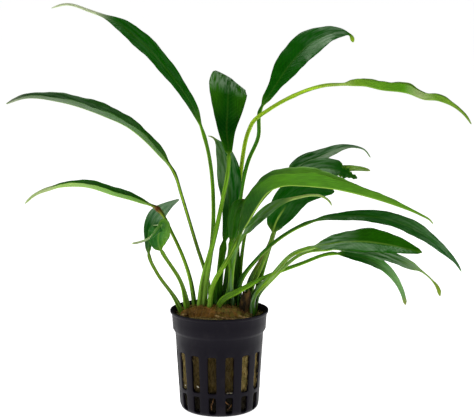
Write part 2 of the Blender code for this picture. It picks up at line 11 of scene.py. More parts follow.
import bpy
import numpy as np
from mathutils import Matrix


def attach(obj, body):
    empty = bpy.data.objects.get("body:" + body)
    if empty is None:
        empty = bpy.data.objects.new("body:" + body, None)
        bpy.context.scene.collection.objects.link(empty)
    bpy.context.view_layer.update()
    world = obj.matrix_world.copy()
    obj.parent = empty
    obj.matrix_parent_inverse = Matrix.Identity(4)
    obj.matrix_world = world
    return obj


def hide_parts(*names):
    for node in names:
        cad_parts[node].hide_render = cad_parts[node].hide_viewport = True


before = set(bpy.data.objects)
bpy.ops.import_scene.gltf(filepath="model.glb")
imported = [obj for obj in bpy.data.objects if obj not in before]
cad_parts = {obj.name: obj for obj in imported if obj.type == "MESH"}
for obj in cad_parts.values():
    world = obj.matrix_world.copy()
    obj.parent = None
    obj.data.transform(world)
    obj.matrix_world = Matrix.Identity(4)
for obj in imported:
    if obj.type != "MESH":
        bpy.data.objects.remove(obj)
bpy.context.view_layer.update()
MM = 0.001
print("CAD nodes:", len(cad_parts))

# %% [markdown]
# ## The camera
#
# The photograph was taken from the front, a little above the pot, with a long lens. A long lens
# keeps the leaves that lean towards us from growing, so the lens is set before anything else.

# %% Camera
CAMERA_PLACE = (9.0 * MM, -730.8 * MM, 220.4 * MM)
CAMERA_DOWN = 9.15
camera_data = bpy.data.cameras.new("camera")
camera_data.sensor_width = 36.0
camera_data.lens = 111.65
camera_data.clip_start = 0.01
camera = bpy.data.objects.new("camera", camera_data)
camera.location = CAMERA_PLACE
camera.rotation_euler = (math.radians(90.0 - CAMERA_DOWN), 0.0, 0.0)
bpy.context.scene.collection.objects.link(camera)
bpy.context.scene.camera = camera
print("camera looks down by", CAMERA_DOWN, "degrees")

# %% [markdown]
# ## Shader nodes in one line
#
# A material is a graph of small nodes. Writing each one with its inputs in a single call keeps
# the graphs below short enough to read as recipes. Colours are given as a painter would read
# them off a screen, from 0 to 255, and turned into the linear values that light adds up in.

# %% Node helpers
def paint(red, green, blue):
    """A screen colour of 0 to 255 as linear light: ((c + 0.055) / 1.055) ** 2.4, or c / 12.92
    where it is very dark."""
    c = np.array([red, green, blue]) / 255.0
    linear = np.where(c > 0.04045, ((c + 0.055) / 1.055) ** 2.4, c / 12.92)
    return tuple(float(v) for v in linear)


def feed(tree, node, inputs):
    """Give a node its inputs: a socket is linked, anything else is set as a constant."""
    for key, value in inputs.items():
        if isinstance(value, bpy.types.NodeSocket):
            tree.links.new(value, node.inputs[key])
        else:
            node.inputs[key].default_value = value


def add_node(tree, kind, inputs=None, **settings):
    made = tree.nodes.new(kind)
    for key, value in settings.items():
        setattr(made, key, value)
    feed(tree, made, inputs or {})
    return made


def calc(tree, operation, first, second=0.0):
    return add_node(tree, "ShaderNodeMath", {0: first, 1: second}, operation=operation).outputs[0]


def times(tree, first, second):
    return calc(tree, "MULTIPLY", first, second)


def weigh(tree, parts, constant=0.0):
    """The sum of value times weight over the parts, and a constant."""
    total = constant
    for value, weight in parts:
        total = calc(tree, "ADD", times(tree, value, weight), total)
    return total


def fade(tree, value, low, high, start=0.0, end=1.0):
    """Start below low, end above high, and a smooth step between."""
    inputs = {"Value": value, "From Min": low, "From Max": high, "To Min": start, "To Max": end}
    made = add_node(tree, "ShaderNodeMapRange", inputs, interpolation_type="SMOOTHSTEP")
    return made.outputs[0]


def blend(tree, amount, first, second):
    """The first colour turned into the second by amount."""
    first, second = [(*c, 1.0) if isinstance(c, tuple) else c for c in (first, second)]
    made = add_node(tree, "ShaderNodeMix", {0: amount, 6: first, 7: second}, data_type="RGBA")
    return made.outputs[2]


def noise(tree, place, scale, detail=3.0, stretch=None):
    """Cloudy noise. Scale is features per metre; stretch squeezes the pattern along an axis."""
    if stretch:
        place = add_node(tree, "ShaderNodeMapping", {"Vector": place, "Scale": stretch}).outputs[0]
    inputs = {"Vector": place, "Scale": scale, "Detail": detail}
    return add_node(tree, "ShaderNodeTexNoise", inputs).outputs[0]


def attribute(tree, name, output="Fac"):
    """A value that was kept on the vertices under this name."""
    return add_node(tree, "ShaderNodeAttribute", attribute_name=name).outputs[output]


def new_finish(name):
    """An empty material: its tree, its Principled shader and its object coordinates."""
    material = bpy.data.materials.new(name)
    material.use_nodes = True
    tree = material.node_tree
    shader = tree.nodes["Principled BSDF"]
    place = add_node(tree, "ShaderNodeTexCoord").outputs["Object"]
    return material, tree, shader, place


def dress(tree, shader, colour, roughness, shine, height, depth_mm):
    """Colour, roughness and shine, and bumps of about the given depth from a height of 0 to 1."""
    bump = add_node(tree, "ShaderNodeBump",
                    {"Height": height, "Distance": depth_mm * MM, "Strength": 1.0})
    feed(tree, shader, {"Base Color": colour, "Roughness": roughness,
                        "Specular IOR Level": shine, "Normal": bump.outputs[0]})


print("a mid grey of 128 is", round(paint(128, 128, 128)[0], 3), "in linear light")

# %% [markdown]
# ## Surfaces from arrays
#
# Leaf, stalk, root and rhizome are all the same kind of shape: a cross-section carried along a
# curve. So one helper draws a smooth curve through a few given points, and another lays a closed
# skin over a stack of rings. Both work on whole arrays, which is quick and easy to check.

# %% Curves
def unit(vectors):
    return vectors / np.linalg.norm(vectors, axis=-1, keepdims=True)


def smooth_step(value, low, high):
    """0 below low, 1 above high, and t^2 (3 - 2t) between."""
    t = np.clip((value - low) / (high - low), 0.0, 1.0)
    return t * t * (3 - 2 * t)


def distance_along(points):
    """The length of the chords from the first point to each one."""
    chords = np.linalg.norm(np.diff(np.array(points, float), axis=0), axis=1)
    return np.concatenate([[0.0], np.cumsum(chords)])


def curve_through(points, places):
    """Places from 0 to 1 along a smooth curve through the points.

    Between points A and B it is the cubic
    (1+2s)(1-s)^2 A + s(1-s)^2 hA' + s^2(3-2s) B + s^2(s-1) hB',
    where h is the chord's length and the slopes A' and B' are averaged from both sides.
    """
    points = np.array(points, float)
    knots = distance_along(points)
    slopes = np.gradient(points, knots, axis=0)
    place = np.asarray(places) * knots[-1]
    first = np.clip(np.searchsorted(knots, place, side="right") - 1, 0, len(knots) - 2)
    span = (knots[first + 1] - knots[first])[:, None]
    s = (place - knots[first])[:, None] / span
    here = (1 + 2 * s) * (1 - s) ** 2 * points[first] + s * (1 - s) ** 2 * span * slopes[first]
    there = s * s * (3 - 2 * s) * points[first + 1] + s * s * (s - 1) * span * slopes[first + 1]
    return here + there


EXAMPLE = [(0, 0, 0), (10, 5, 0), (20, 0, 0)]
print("a route through 3 points, halfway:", curve_through(EXAMPLE, [0.5])[0])


# %% Skins over rings
def full_turn(sides):
    """Angles around a full turn, without the last one, which would repeat the first."""
    return np.linspace(0, 2 * math.pi, sides, endpoint=False)


def ring_faces(stations, sides):
    """Quads between neighbouring rings, wound so that they point outwards."""
    row, side = np.meshgrid(np.arange(stations - 1), np.arange(sides), indexing="ij")
    here, beside = row * sides + side, row * sides + (side + 1) % sides
    return np.stack([here, beside, beside + sides, here + sides], axis=-1).reshape(-1, 4)


def new_mesh(name, points_mm, faces):
    mesh = bpy.data.meshes.new(name)
    mesh.from_pydata((points_mm * MM).tolist(), [], faces)
    mesh.shade_smooth()
    return mesh


def keep_fact(mesh, fact, values):
    """A named value or colour on each vertex; the two end points take their ring's average."""
    flat = values.reshape((-1,) + values.shape[2:])
    flat = np.concatenate([flat, values[0].mean(axis=0)[None], values[-1].mean(axis=0)[None]])
    kind, key = "FLOAT", "value"
    if flat.ndim == 2:
        flat = np.concatenate([flat, np.ones((len(flat), 1))], axis=1)
        kind, key = "FLOAT_COLOR", "color"
    layer = mesh.attributes.new(fact, kind, "POINT")
    layer.data.foreach_set(key, flat.astype(np.float32).ravel())


def closed_skin(name, rings, along, across=None, **facts):
    """A mesh over rings (station, side, xyz) in millimetres, each end drawn in to one point.

    The UV map holds across, from 0 to 1 around the ring unless it is given as (station, side),
    and along, one value per station. Facts are values (station, side) or colours
    (station, side, 3) that are kept on the vertices.
    """
    stations, sides = rings.shape[:2]
    side = np.arange(sides)
    beside = (side + 1) % sides
    count = stations * sides
    ends = np.stack([rings[0].mean(axis=0), rings[-1].mean(axis=0)])
    foot = np.stack([beside, side, np.full(sides, count)], axis=1)
    top = np.stack([side, beside, np.full(sides, sides + 1)], axis=1) + count - sides
    mesh = new_mesh(name, np.concatenate([rings.reshape(-1, 3), ends]),
                    ring_faces(stations, sides).tolist() + foot.tolist() + top.tolist())

    if across is None:
        across = np.broadcast_to(np.linspace(0, 1, sides + 1), (stations, sides + 1))
    else:
        across = np.concatenate([across, across[:, :1]], axis=1)
    row, column = np.meshgrid(np.arange(stations - 1), side, indexing="ij")
    corners = ((0, 0), (0, 1), (1, 1), (1, 0))
    u = np.stack([across[row + up, column + over] for up, over in corners], axis=-1)
    v = np.stack([along[row + up] for up, _ in corners], axis=-1)
    foot_u = np.stack([across[0, side + 1], across[0, side], 0.0 * side], axis=1)
    top_u = np.stack([across[-1, side], across[-1, side + 1], 0.0 * side], axis=1)
    all_u = np.concatenate([u.ravel(), foot_u.ravel(), top_u.ravel()])
    all_v = np.concatenate([v.ravel(), np.repeat(along[[0, -1]], 3 * sides)])
    uv = np.stack([all_u, all_v], axis=1).astype(np.float32)
    mesh.uv_layers.new(name="surface").data.foreach_set("uv", uv.ravel())
    for fact, values in facts.items():
        keep_fact(mesh, fact, values)
    return mesh


def add_piece(name, mesh, material, slot, *nodes):
    """The mesh as a piece of the object that rides with the pot and stands for its CAD nodes."""
    piece = bpy.data.objects.new(name, mesh)
    bpy.context.scene.collection.objects.link(piece)
    mesh.materials.append(material)
    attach(piece, "root")
    if nodes:
        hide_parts(*nodes)
    return piece


print("faces between 3 rings of 4 points:", len(ring_faces(3, 4)))

# %% [markdown]
# ## The leaf's finish
#
# An anubias leaf is leathery and glossy on top, paler and duller beneath. A pale midrib runs along
# it, fine side veins leave the midrib aslant, and light shines through the thin blade a little.
# A picture of a leaf could be wrapped around it, but every leaf would then look the same. Here the
# UV map holds millimetres across and along the leaf, so a few formulas place the midrib, the veins
# and the margin on every blade at their real size. Fine streaks run along the leaf, stronger on the
# stalk. A pale sheen is painted in streaks where the wax would catch the light, and on some leaves
# the midrib is painted paler still as its highlight: both are painted highlights. The shine is
# tinted green, as wax over a leaf is.

# %% Leaf finish
VEIN_SPACING = 2.6
VEIN_SLANT = 1.15
VEIN_TONE = paint(110, 165, 40)
PALE_RIB_AND_HIGHLIGHT_TONE = paint(172, 212, 84)
MARGIN_TONE = paint(130, 180, 50)
PAINTED_SHEEN_TONE = paint(150, 182, 144)
WAX_TINT = (0.45, 0.9, 0.3, 1.0)
MARGIN_WIDTH = 0.4
VEIN_WIDTH, VEIN_SHOWS, MARGIN_SHOWS = 0.16, 0.05, 0.22
FINE_STREAKS = (2.2, 0.12, 1.0)
WIDE_STREAKS = (1.0, 0.04, 1.0)
PAINTED_SHEEN_STREAKS = (0.75, 0.09, 1.0)


def leaf_finish(name, roughness, shine, glow, through_colour):
    """The tone kept on the vertices, with streaks, veins, midrib, margin and painted sheen laid
    over it.

    Glow is the share of light that comes through the blade from behind.
    """
    material, tree, shader, place = new_finish(name)
    on_leaf = add_node(tree, "ShaderNodeUVMap", uv_map="surface").outputs[0]
    across, along, _ = add_node(tree, "ShaderNodeSeparateXYZ", {0: on_leaf}).outputs
    out = calc(tree, "ABSOLUTE", across)
    blade = attribute(tree, "blade")

    # A side vein lies where (along - slant * out) is half a spacing past a whole number of them.
    turn = weigh(tree, [(along, 1 / VEIN_SPACING), (out, -VEIN_SLANT / VEIN_SPACING),
                        (noise(tree, place, 120.0), 0.4)])
    wave = calc(tree, "ABSOLUTE", calc(tree, "SUBTRACT", calc(tree, "FRACT", turn), 0.5))
    vein = times(tree, fade(tree, wave, 0.0, VEIN_WIDTH, 1.0, 0.0), blade)
    edge = fade(tree, attribute(tree, "to_margin"), 0.0, MARGIN_WIDTH, 1.0, 0.0)

    clouds = noise(tree, place, 130.0, 4.0)
    streaks = noise(tree, on_leaf, 1.0, 2.0, FINE_STREAKS)
    wide_streaks = calc(tree, "SUBTRACT", noise(tree, on_leaf, 1.0, 2.0, WIDE_STREAKS), 0.5)
    stalk_lines = times(tree, wide_streaks, calc(tree, "SUBTRACT", 1.0, blade))
    shade = weigh(tree, [(clouds, 0.55), (streaks, 1.15), (stalk_lines, 3.2)], 0.16)
    toned = add_node(tree, "ShaderNodeVectorMath", {0: attribute(tree, "tone", "Color"),
                                                    "Scale": shade}, operation="SCALE").outputs[0]
    toned = blend(tree, times(tree, vein, VEIN_SHOWS), toned, VEIN_TONE)
    # The midrib is paler; where rib is strong this is also a painted highlight along it.
    toned = blend(tree, times(tree, blade, attribute(tree, "rib_light")), toned, PALE_RIB_AND_HIGHLIGHT_TONE)
    toned = blend(tree, times(tree, times(tree, edge, blade), MARGIN_SHOWS), toned, MARGIN_TONE)
    # A pale sheen painted in streaks on top: a painted highlight where the wax would catch the
    # light.
    painted_sheen_mask = fade(tree, noise(tree, on_leaf, 1.0, 3.0, PAINTED_SHEEN_STREAKS), 0.38, 0.62)
    toned = blend(tree, times(tree, painted_sheen_mask, attribute(tree, "silver")), toned, PAINTED_SHEEN_TONE)

    dull = weigh(tree, [(clouds, 0.22)], roughness - 0.11)
    height = weigh(tree, [(vein, -0.3), (noise(tree, place, 1500.0, 2.0), 0.35),
                          (noise(tree, place, 300.0, 2.0), 2.6)])
    dress(tree, shader, toned, dull, shine, height, 0.06)
    shader.inputs["Specular Tint"].default_value = WAX_TINT

    through = add_node(tree, "ShaderNodeBsdfTranslucent",
                       {"Color": blend(tree, 0.3, toned, through_colour)})
    mixed = add_node(tree, "ShaderNodeMixShader",
                     {0: glow, 1: shader.outputs[0], 2: through.outputs[0]})
    feed(tree, tree.nodes["Material Output"], {"Surface": mixed.outputs[0]})
    return material


FINISHES = {
    "mature_leaf": leaf_finish("mature_leaf", 0.31, 0.19, 0.05, paint(70, 160, 14)),
    "young_leaf": leaf_finish("young_leaf", 0.40, 0.20, 0.10, paint(140, 200, 20)),
}
print("side veins every", VEIN_SPACING, "mm")

# %% [markdown]
# ## One leaf as a surface
#
# A leaf is a function of two numbers: u, how far along its blade a point is, and s, how far out
# from the midrib. The stalk is a round tube with a clasping sheath at its foot. It swells a little
# where the blade begins, then spreads into a thin blade that is folded along its midrib and rippled
# at its margins, and its side veins lie in shallow grooves. Most routes and widths are the CAD
# model's. A few were set anew from the photograph, most of all those of the leaf folded in front.

# %% Along the leaf
STALK_STEP = 2.5
BLADE_STATIONS = 150
TIP_ENDS = 0.962
BLADE_THICKNESS = 0.5
TIP_HALF_WIDTH = 0.4
JOINT_REACH = 2.5
ROLLED_THICKNESS = 0.75
ROUNDED_TIP = 0.03
THICKEST = 0.8


def soft_line(u, points, reach=0.025):
    """Straight lines through (u, value) points, averaged over a short reach to lose the corners."""
    places, values = np.array(points, float).T
    shifts = np.linspace(-reach, reach, 9)
    return np.mean([np.interp(u + shift, places, values) for shift in shifts], axis=0)


def leaf_stations(leaf):
    """Places along the route, u at each, how many are on the stalk, and the leaf's whole length.

    u is 0 on the stalk. On the blade it is a mean of q and (1 - cos(pi q)) / 2, so that the
    stations lie closer together near both ends.
    """
    steps = distance_along(leaf["route"])
    foot = steps[leaf["blade"]]
    start = foot / steps[-1]
    stalk = np.linspace(0, start, math.ceil(foot / STALK_STEP), endpoint=False)
    q = np.linspace(0, 1, BLADE_STATIONS)
    u_blade = TIP_ENDS * (0.5 * q + 0.25 * (1 - np.cos(math.pi * q)))
    stations = np.concatenate([stalk, start + (1 - start) * u_blade])
    return stations, np.concatenate([np.zeros(len(stalk)), u_blade]), len(stalk), steps[-1]


def leaf_frames(centre, stations, first, u, faces):
    """Across and up at each station.

    On the blade, up is the wanted face made square to the route, and across is route x up.
    The stalk keeps the blade's first across, made square to the route in the same way.
    """
    ahead = unit(np.gradient(centre, stations, axis=0))
    keys = np.linspace(0, 1, len(faces))
    wanted = [np.interp(u[first:], keys, column) for column in np.array(faces, float).T]
    across = np.zeros_like(centre)
    across[first:] = unit(np.cross(ahead[first:], np.stack(wanted, axis=1)))
    kept = across[first]
    across[:first] = unit(kept - ahead[:first] * (ahead[:first] @ kept)[:, None])
    return across, np.cross(across, ahead)


def leaf_profile(leaf, u, stations, start, whole):
    """Half width, half thickness, flatness (0 stalk, 1 blade), roll, and nearness to the foot."""
    down = np.clip(1 - stations / start, 0, 1)
    joint = 1 + leaf["joint"] * np.exp(-((stations - start) * whole / JOINT_REACH) ** 2)
    round_radius = (leaf["stalk"] + (leaf["sheath"] - leaf["stalk"]) * down ** 2) * joint
    flat = smooth_step(u, *leaf["spread"])
    rolled = smooth_step(u, *leaf["rolled"])
    half_width = np.maximum(soft_line(u, leaf["line"]) * flat,
                            round_radius * (1 - flat) + TIP_HALF_WIDTH * flat)
    thick = round_radius * (1 - flat) + BLADE_THICKNESS / 2 * flat
    thick = np.maximum(thick, rolled * half_width * ROLLED_THICKNESS)
    half_width = half_width * np.sqrt(np.clip((TIP_ENDS - u) / ROUNDED_TIP, 0.02, 1))
    return half_width, np.minimum(thick, half_width * THICKEST), flat, rolled, down


print("stations on a blade:", BLADE_STATIONS)

# %% [markdown]
# ## Across the leaf
#
# Each station gets a ring of points, over the top from margin to margin and back beneath. On the
# stalk the ring is a circle with a groove on its upper side, as on the real stalk, and on the
# blade it is a flat lens. The midrib stands out beneath, the margins swing in two slow waves, and
# one leaf has its end frayed by small bites.

# %% Across the leaf
TOP_COLUMNS = 29
FOLD_MIDDLE = 0.5
VEIN_DEPTH = 0.05
RIB_ON_TOP, RIB_BENEATH, RIB_REACH = 0.10, -0.42, 0.55
RIPPLE_WAVES = ((0.10, 6.7), (0.32, 19.0))
OTHER_MARGIN = 2.1
FULL_RIPPLE_WIDTH = 6
TORN_BITES = ((23, 0, 0.3), (67, 1, 0.2))
TORN_PART = (0.68, 0.8)
VEINS_BEGIN = 1.5
FOLD_SOFTNESS = 0.012
CLASP_RISES, CLASP_FALLS = (0.55, 0.85), (0.93, 1.0)
GROOVE_WIDTH, GROOVE_DEPTH, CLASP_DEPTH = 0.3, 0.25, 0.45


def torn_edge(u):
    """How much of the width a torn end has lost: frayed bites past two thirds of the blade."""
    bites = sum(size * np.abs(np.sin(rate * u + shift)) for rate, shift, size in TORN_BITES)
    return bites * smooth_step(u, *TORN_PART)


def cross_section():
    """Places from -1 to 1 over the top and back beneath, and each one's side: 1 top, -1 beneath."""
    q = np.linspace(-1, 1, TOP_COLUMNS)
    over = np.sign(q) * np.abs(q) ** 1.5
    side = np.concatenate([np.ones(TOP_COLUMNS), -np.ones(TOP_COLUMNS - 2)])
    return np.concatenate([over, over[-2:0:-1]]), side


def leaf_rings(leaf):
    """Every point of a leaf in millimetres, with the facts that its colours need.

    A point is centre + spread * across + lift * up. Spread goes from sin(pi s / 2) on the round
    stalk to s on the blade, times the half width. Lift is the section's own height with rib,
    ripple and veins, and the fold: sqrt(s^2 + 0.012) - 0.5, times half width * sin(tilt).
    """
    stations, u, first, whole = leaf_stations(leaf)
    centre = curve_through(leaf["route"], stations)
    across, up = leaf_frames(centre, stations, first, u, leaf["faces"])
    profile = leaf_profile(leaf, u, stations, stations[first], whole)
    u, length = u[:, None], (stations * whole)[:, None]
    half_width, thick, flat, rolled, down = [values[:, None] for values in profile]
    folds = np.atleast_1d(leaf["fold"])
    tilt = np.radians(np.interp(u, np.linspace(0, 1, len(folds)), folds)) * flat
    s, side = cross_section()
    out = np.abs(s) * half_width

    clasp = smooth_step(down, *CLASP_RISES) * (1 - smooth_step(down, *CLASP_FALLS))
    x = (1 - flat) * np.sin(math.pi / 2 * s) * (1 + leaf["clasp"] * clasp) + flat * s
    z = (1 - flat) * np.cos(math.pi / 2 * s) + flat * (1 - np.abs(s) ** 3) ** 0.7
    groove = (side > 0) * np.exp(-(s / GROOVE_WIDTH) ** 2) * (1 - flat)
    z = z * (1 - groove * (GROOVE_DEPTH + CLASP_DEPTH * clasp))

    phase = np.where(s > 0, 0.0, OTHER_MARGIN) + len(leaf["name"])
    swing = sum(size * np.sin(2 * math.pi * length / wave + phase) for size, wave in RIPPLE_WAVES)
    swing = swing * np.abs(s) ** 2.5 * flat * np.clip(half_width / FULL_RIPPLE_WIDTH, 0, 1)
    half_width = half_width * (1 - leaf["torn"] * torn_edge(u))
    veins = VEIN_DEPTH * np.cos(2 * math.pi * (length - VEIN_SLANT * out) / VEIN_SPACING)
    veins = veins * flat * (1 - rolled) * np.clip(out / VEINS_BEGIN, 0, 1) * (1 - s ** 4)
    rib = flat * (1 - u) ** 0.6 * np.exp(-(out / RIB_REACH) ** 2)
    rib = rib * np.where(side > 0, RIB_ON_TOP, RIB_BENEATH)
    fold = (np.sqrt(s ** 2 + FOLD_SOFTNESS) - FOLD_MIDDLE) * half_width * np.sin(tilt)

    lift = (side * z * thick + rib + swing + veins + fold)[..., None]
    spread = (x * half_width * np.cos(tilt))[..., None]
    rings = centre[:, None] + spread * across[:, None] + lift * up[:, None]
    u, s, side, flat, down = np.broadcast_arrays(u, s, side, flat, down)
    return rings, dict(u=u, s=s, side=side, flat=flat, down=down, out=out, length=length,
                       half_width=half_width)


print("points on a blade:", BLADE_STATIONS * (2 * TOP_COLUMNS - 2))

# %% [markdown]
# ## Colour along a leaf
#
# On the real plant the stalk is a light yellow-green, the blade's top a deep green, its underside
# paler, and the drawn-out tip dries to a pale straw colour. These change along the leaf, not in
# space, so they are worked out on the vertices from the same two numbers as the shape. On several
# leaves the tones along the blade also hold painted light: pale grey-green stops for sheen, dark
# ones for shade.

# %% Leaf colours
# Both sides of each stalk are lightened towards this lime colour: painted light on its edges.
STALK_PAINTED_LIGHT = (182, 216, 64)
STALK_PAINTED_LIGHT_AMOUNT = 0.45
STALK_PAINTED_LIGHT_FROM = 0.45
SHEATH_FROM, SHEATH_FULL = 0.45, 0.9
RIB_HALF_ON_TOP, RIB_HALF_BENEATH = 0.7, 1.1
HALVES_BLEND = 0.08
TIP_BLEND = 0.12
# The back leaves' sheaths at their feet are darkened as painted shade.
PAINTED_SHADE_SHEATH = (44, 88, 14)


def mix_tones(first, second, amount):
    first, second = np.asarray(first), np.asarray(second)
    return first + (second - first) * amount[..., None]


def tone_along(u, stops):
    """One colour, or colours at given places along the blade with straight changes between."""
    stops = stops if isinstance(stops, list) else [(0, stops)]
    places = [place for place, _ in stops]
    lights = np.array([paint(*colour) for _, colour in stops])
    return np.stack([np.interp(u, places, channel) for channel in lights.T], axis=-1)


def leaf_tones(leaf, facts):
    """Stalk to blade by flatness, top to underside by side, then tip and marks laid over."""
    u, s = facts["u"], facts["s"]
    top = tone_along(u, leaf["top"])
    if leaf["far_half"]:
        sign, half_tone = leaf["far_half"]
        on_half = smooth_step(s * sign, -HALVES_BLEND, HALVES_BLEND)
        top = mix_tones(top, tone_along(u, half_tone), on_half)
    if leaf["middle"]:
        middle_tone, reach = leaf["middle"]
        top = mix_tones(top, paint(*middle_tone), np.exp(-(s / reach) ** 2))
    tone = mix_tones(top, tone_along(u, leaf["under"]), (facts["side"] < 0) * 1.0)
    # The stalk's sides take the lime colour as painted light on its edges.
    stalk = mix_tones(paint(*leaf["stalk_tone"]), paint(*STALK_PAINTED_LIGHT),
                      STALK_PAINTED_LIGHT_AMOUNT * smooth_step(np.abs(s), STALK_PAINTED_LIGHT_FROM, 1.0))
    stalk = mix_tones(stalk, paint(*leaf["sheath_tone"]),
                      smooth_step(facts["down"], SHEATH_FROM, SHEATH_FULL))
    tone = mix_tones(stalk, tone, smooth_step(u, 0.0, 1.3 * leaf["spread"][1]))
    tip_tone, tip_start = leaf["tip"]
    tip = smooth_step(u, tip_start, min(tip_start + TIP_BLEND, TIP_ENDS))
    tone = mix_tones(tone, paint(*tip_tone), tip)
    for place, reach, mark in leaf["marks"]:
        near = np.exp(-((facts["length"] - place) / reach) ** 2) + 0 * u
        tone = mix_tones(tone, paint(*mark), near)
    return tone


def rib_light(leaf, facts):
    """How pale the midrib is: thin on top, wider beneath, and fading towards the tip.
    Where it is strong it is a painted highlight along the midrib.
    """
    on_top, beneath = leaf["rib"]
    over = facts["side"] > 0
    rib_half = np.where(over, RIB_HALF_ON_TOP, RIB_HALF_BENEATH)
    near = 1 - smooth_step(facts["out"] / rib_half, 0.25, 1.0)
    strength, low, high = leaf["rib_fades"]
    faded = 1 - strength * smooth_step(facts["u"], low, high)
    return np.where(over, on_top, beneath) * near * faded


def silver_light(leaf, facts):
    """How much pale sheen is painted in streaks on the top as a highlight, at places along the
    blade.
    """
    places, amounts = zip(*leaf["silver"])
    return np.where(facts["side"] > 0, np.interp(facts["u"], places, amounts), 0.0)


print("a stalk's lit edge is", STALK_PAINTED_LIGHT)

# %% [markdown]
# ## How a leaf is written down
#
# Each leaf is written as a maker would note it, in millimetres and screen colours. The route runs
# from the rhizome to the tip, and blade counts the route's point where the blade begins. Stalk and
# sheath are radii, and line gives the half width at places along the blade. Faces are the ways its
# top looks from base to tip, and fold is the angle by which each half is lifted. Joint is the
# swelling where the blade begins, spread the part over which the stalk flattens, rolled the part
# where the tip rolls up, clasp how wide the sheath opens, and torn marks a frayed end.
#
# Top and under are the colours of both sides, as one colour or as stops along the blade. Far half
# is another tone on one half (1 or -1) of the top, and middle one along the midrib with its reach.
# On several leaves these tones also hold painted shade and a painted grey-green sheen. Tip is a
# colour and where it starts, and marks are (millimetres from the foot, reach, colour). Rib is how
# pale the midrib is on top and beneath, with how it fades; where it is strong it paints the
# midrib's highlight. The pale sheen in streaks on top, a painted highlight, is given as amounts at
# places along the blade. What a leaf doesn't say, it takes from the usual leaf.

# %% The usual leaf
USUAL_LEAF = dict(
    blade=3, fold=14, stalk=1, sheath=1.5, joint=0.12, spread=(0.0, 0.12), rolled=(1.0, 1.1),
    clasp=0.4, torn=0.0, slot="mature_leaf", far_half=None, middle=None, marks=[],
    rib=(0.05, 0.6), rib_fades=(0.7, 0.5, 0.95), silver=[(0, 0.06)],
    stalk_tone=(94, 154, 20), sheath_tone=(108, 156, 36))
GROWN = []


def grow_leaf(name, **given):
    """A leaf with its colours kept on its vertices and millimetres in its UV map."""
    leaf = dict(USUAL_LEAF, name=name, **given)
    rings, facts = leaf_rings(leaf)
    mesh = closed_skin(name, rings, facts["length"][:, 0], facts["s"] * facts["half_width"],
                       tone=leaf_tones(leaf, facts), blade=facts["flat"],
                       to_margin=facts["half_width"] - facts["out"],
                       rib_light=rib_light(leaf, facts), silver=silver_light(leaf, facts))
    GROWN.append(add_piece(name, mesh, FINISHES[leaf["slot"]], leaf["slot"], "leaf_" + name))


print("a usual stalk is", USUAL_LEAF["stalk_tone"])

# %% [markdown]
# ## The left-hand leaves
#
# Five leaves lean out to the left. The highest is long and narrow with a rolled, dried tip, and
# the lowest two are folded, so that they show both of their sides.

# %% Leaves on the left
grow_leaf(
    "tall_left", blade=4, stalk=1.05, rolled=(0.68, 0.76),
    route=[(-8.5, 7.6, 49), (-7, 9, 63.3), (-4, 8, 82.3), (-3, 9, 101.7), (-7.7, 20, 137.4),
           (-13, 24, 150.9), (-25, 30, 168.5), (-40, 37, 184.7), (-55.7, 42, 196.1),
           (-68, 45, 200.9), (-80, 47.5, 204.3), (-93, 49, 200.7)],
    line=[(0.02, 1.4), (0.13, 2.9), (0.21, 3.5), (0.32, 4.8), (0.42, 5.3), (0.52, 5.7), (0.6, 5),
          (0.65, 3.5), (0.69, 2), (0.73, 1), (0.8, 0.85), (0.9, 0.75), (1, 0.35)],
    faces=[(0.6, -0.75, 0.3), (0.45, -0.8, 0.45), (0.2, -0.6, 0.7)],
    top=[(0, (16, 96, 2)), (0.6, (18, 96, 4))], under=(96, 140, 60), tip=((206, 216, 176), 0.66))
# The pale grey-green stops towards the end, on top and beneath, are painted sheen.
grow_leaf(
    "long_left", blade=4, fold=44, stalk=1.1,
    route=[(-3.5, 6.9, 49.2), (-6, 4, 66.1), (-11, 3, 82.7), (-19, -3, 111.7),
           (-21.8, -7, 121.9), (-30, -10, 134.2), (-43, -16, 147.3), (-59.7, -21, 155.8),
           (-76, -26, 160.9), (-92, -30, 162.2), (-104.5, -32, 157.5)],
    line=[(0.05, 2), (0.13, 4.1), (0.24, 5.1), (0.36, 5.5), (0.45, 6.9), (0.55, 6.3),
          (0.64, 5.7), (0.74, 4.6), (0.85, 2.7), (0.94, 1.3), (1, 0.5)],
    faces=[(0.5, -0.3, 0.8), (0.3, -0.25, 0.9), (0.1, -0.2, 0.97)],
    top=[(0, (28, 92, 4)), (0.3, (24, 88, 8)), (0.55, (40, 96, 28)), (0.8, (56, 96, 50))],
    under=[(0, (84, 132, 20)), (0.15, (54, 104, 16)), (0.45, (52, 96, 36)), (0.8, (88, 110, 76))],
    silver=[(0.3, 0), (0.55, 0.2), (0.9, 0.35)], tip=((150, 156, 134), 0.84),
    stalk_tone=(60, 110, 8))
grow_leaf(
    "low_left", fold=52, joint=0.7, rolled=(0.66, 0.8),
    route=[(-12, -0.6, 49.5), (-15, 2, 67.7), (-24, 6, 89.7), (-31.2, 8, 101.9),
           (-40.5, 10, 106), (-53.5, 14, 109.5), (-70.6, 19, 113.2), (-85.3, 23, 111.2),
           (-97.6, 27, 105.7), (-104, 28, 99.2)],
    line=[(0.03, 1.3), (0.07, 1.9), (0.14, 3.2), (0.23, 4.3), (0.32, 4.9), (0.43, 4.4),
          (0.55, 4), (0.66, 2.7), (0.74, 1.4), (0.83, 0.9), (0.92, 0.7), (1, 0.35)],
    faces=[(0.2, -0.2, 0.95), (0, -0.2, 0.98), (-0.3, -0.15, 0.95)],
    top=[(0, (30, 92, 10)), (0.4, (34, 104, 8))],
    under=[(0, (70, 116, 16)), (0.3, (96, 150, 34)), (0.6, (146, 184, 88))],
    marks=[(57, 3.8, (96, 40, 16))], tip=((176, 190, 136), 0.66), stalk_tone=(100, 150, 22))
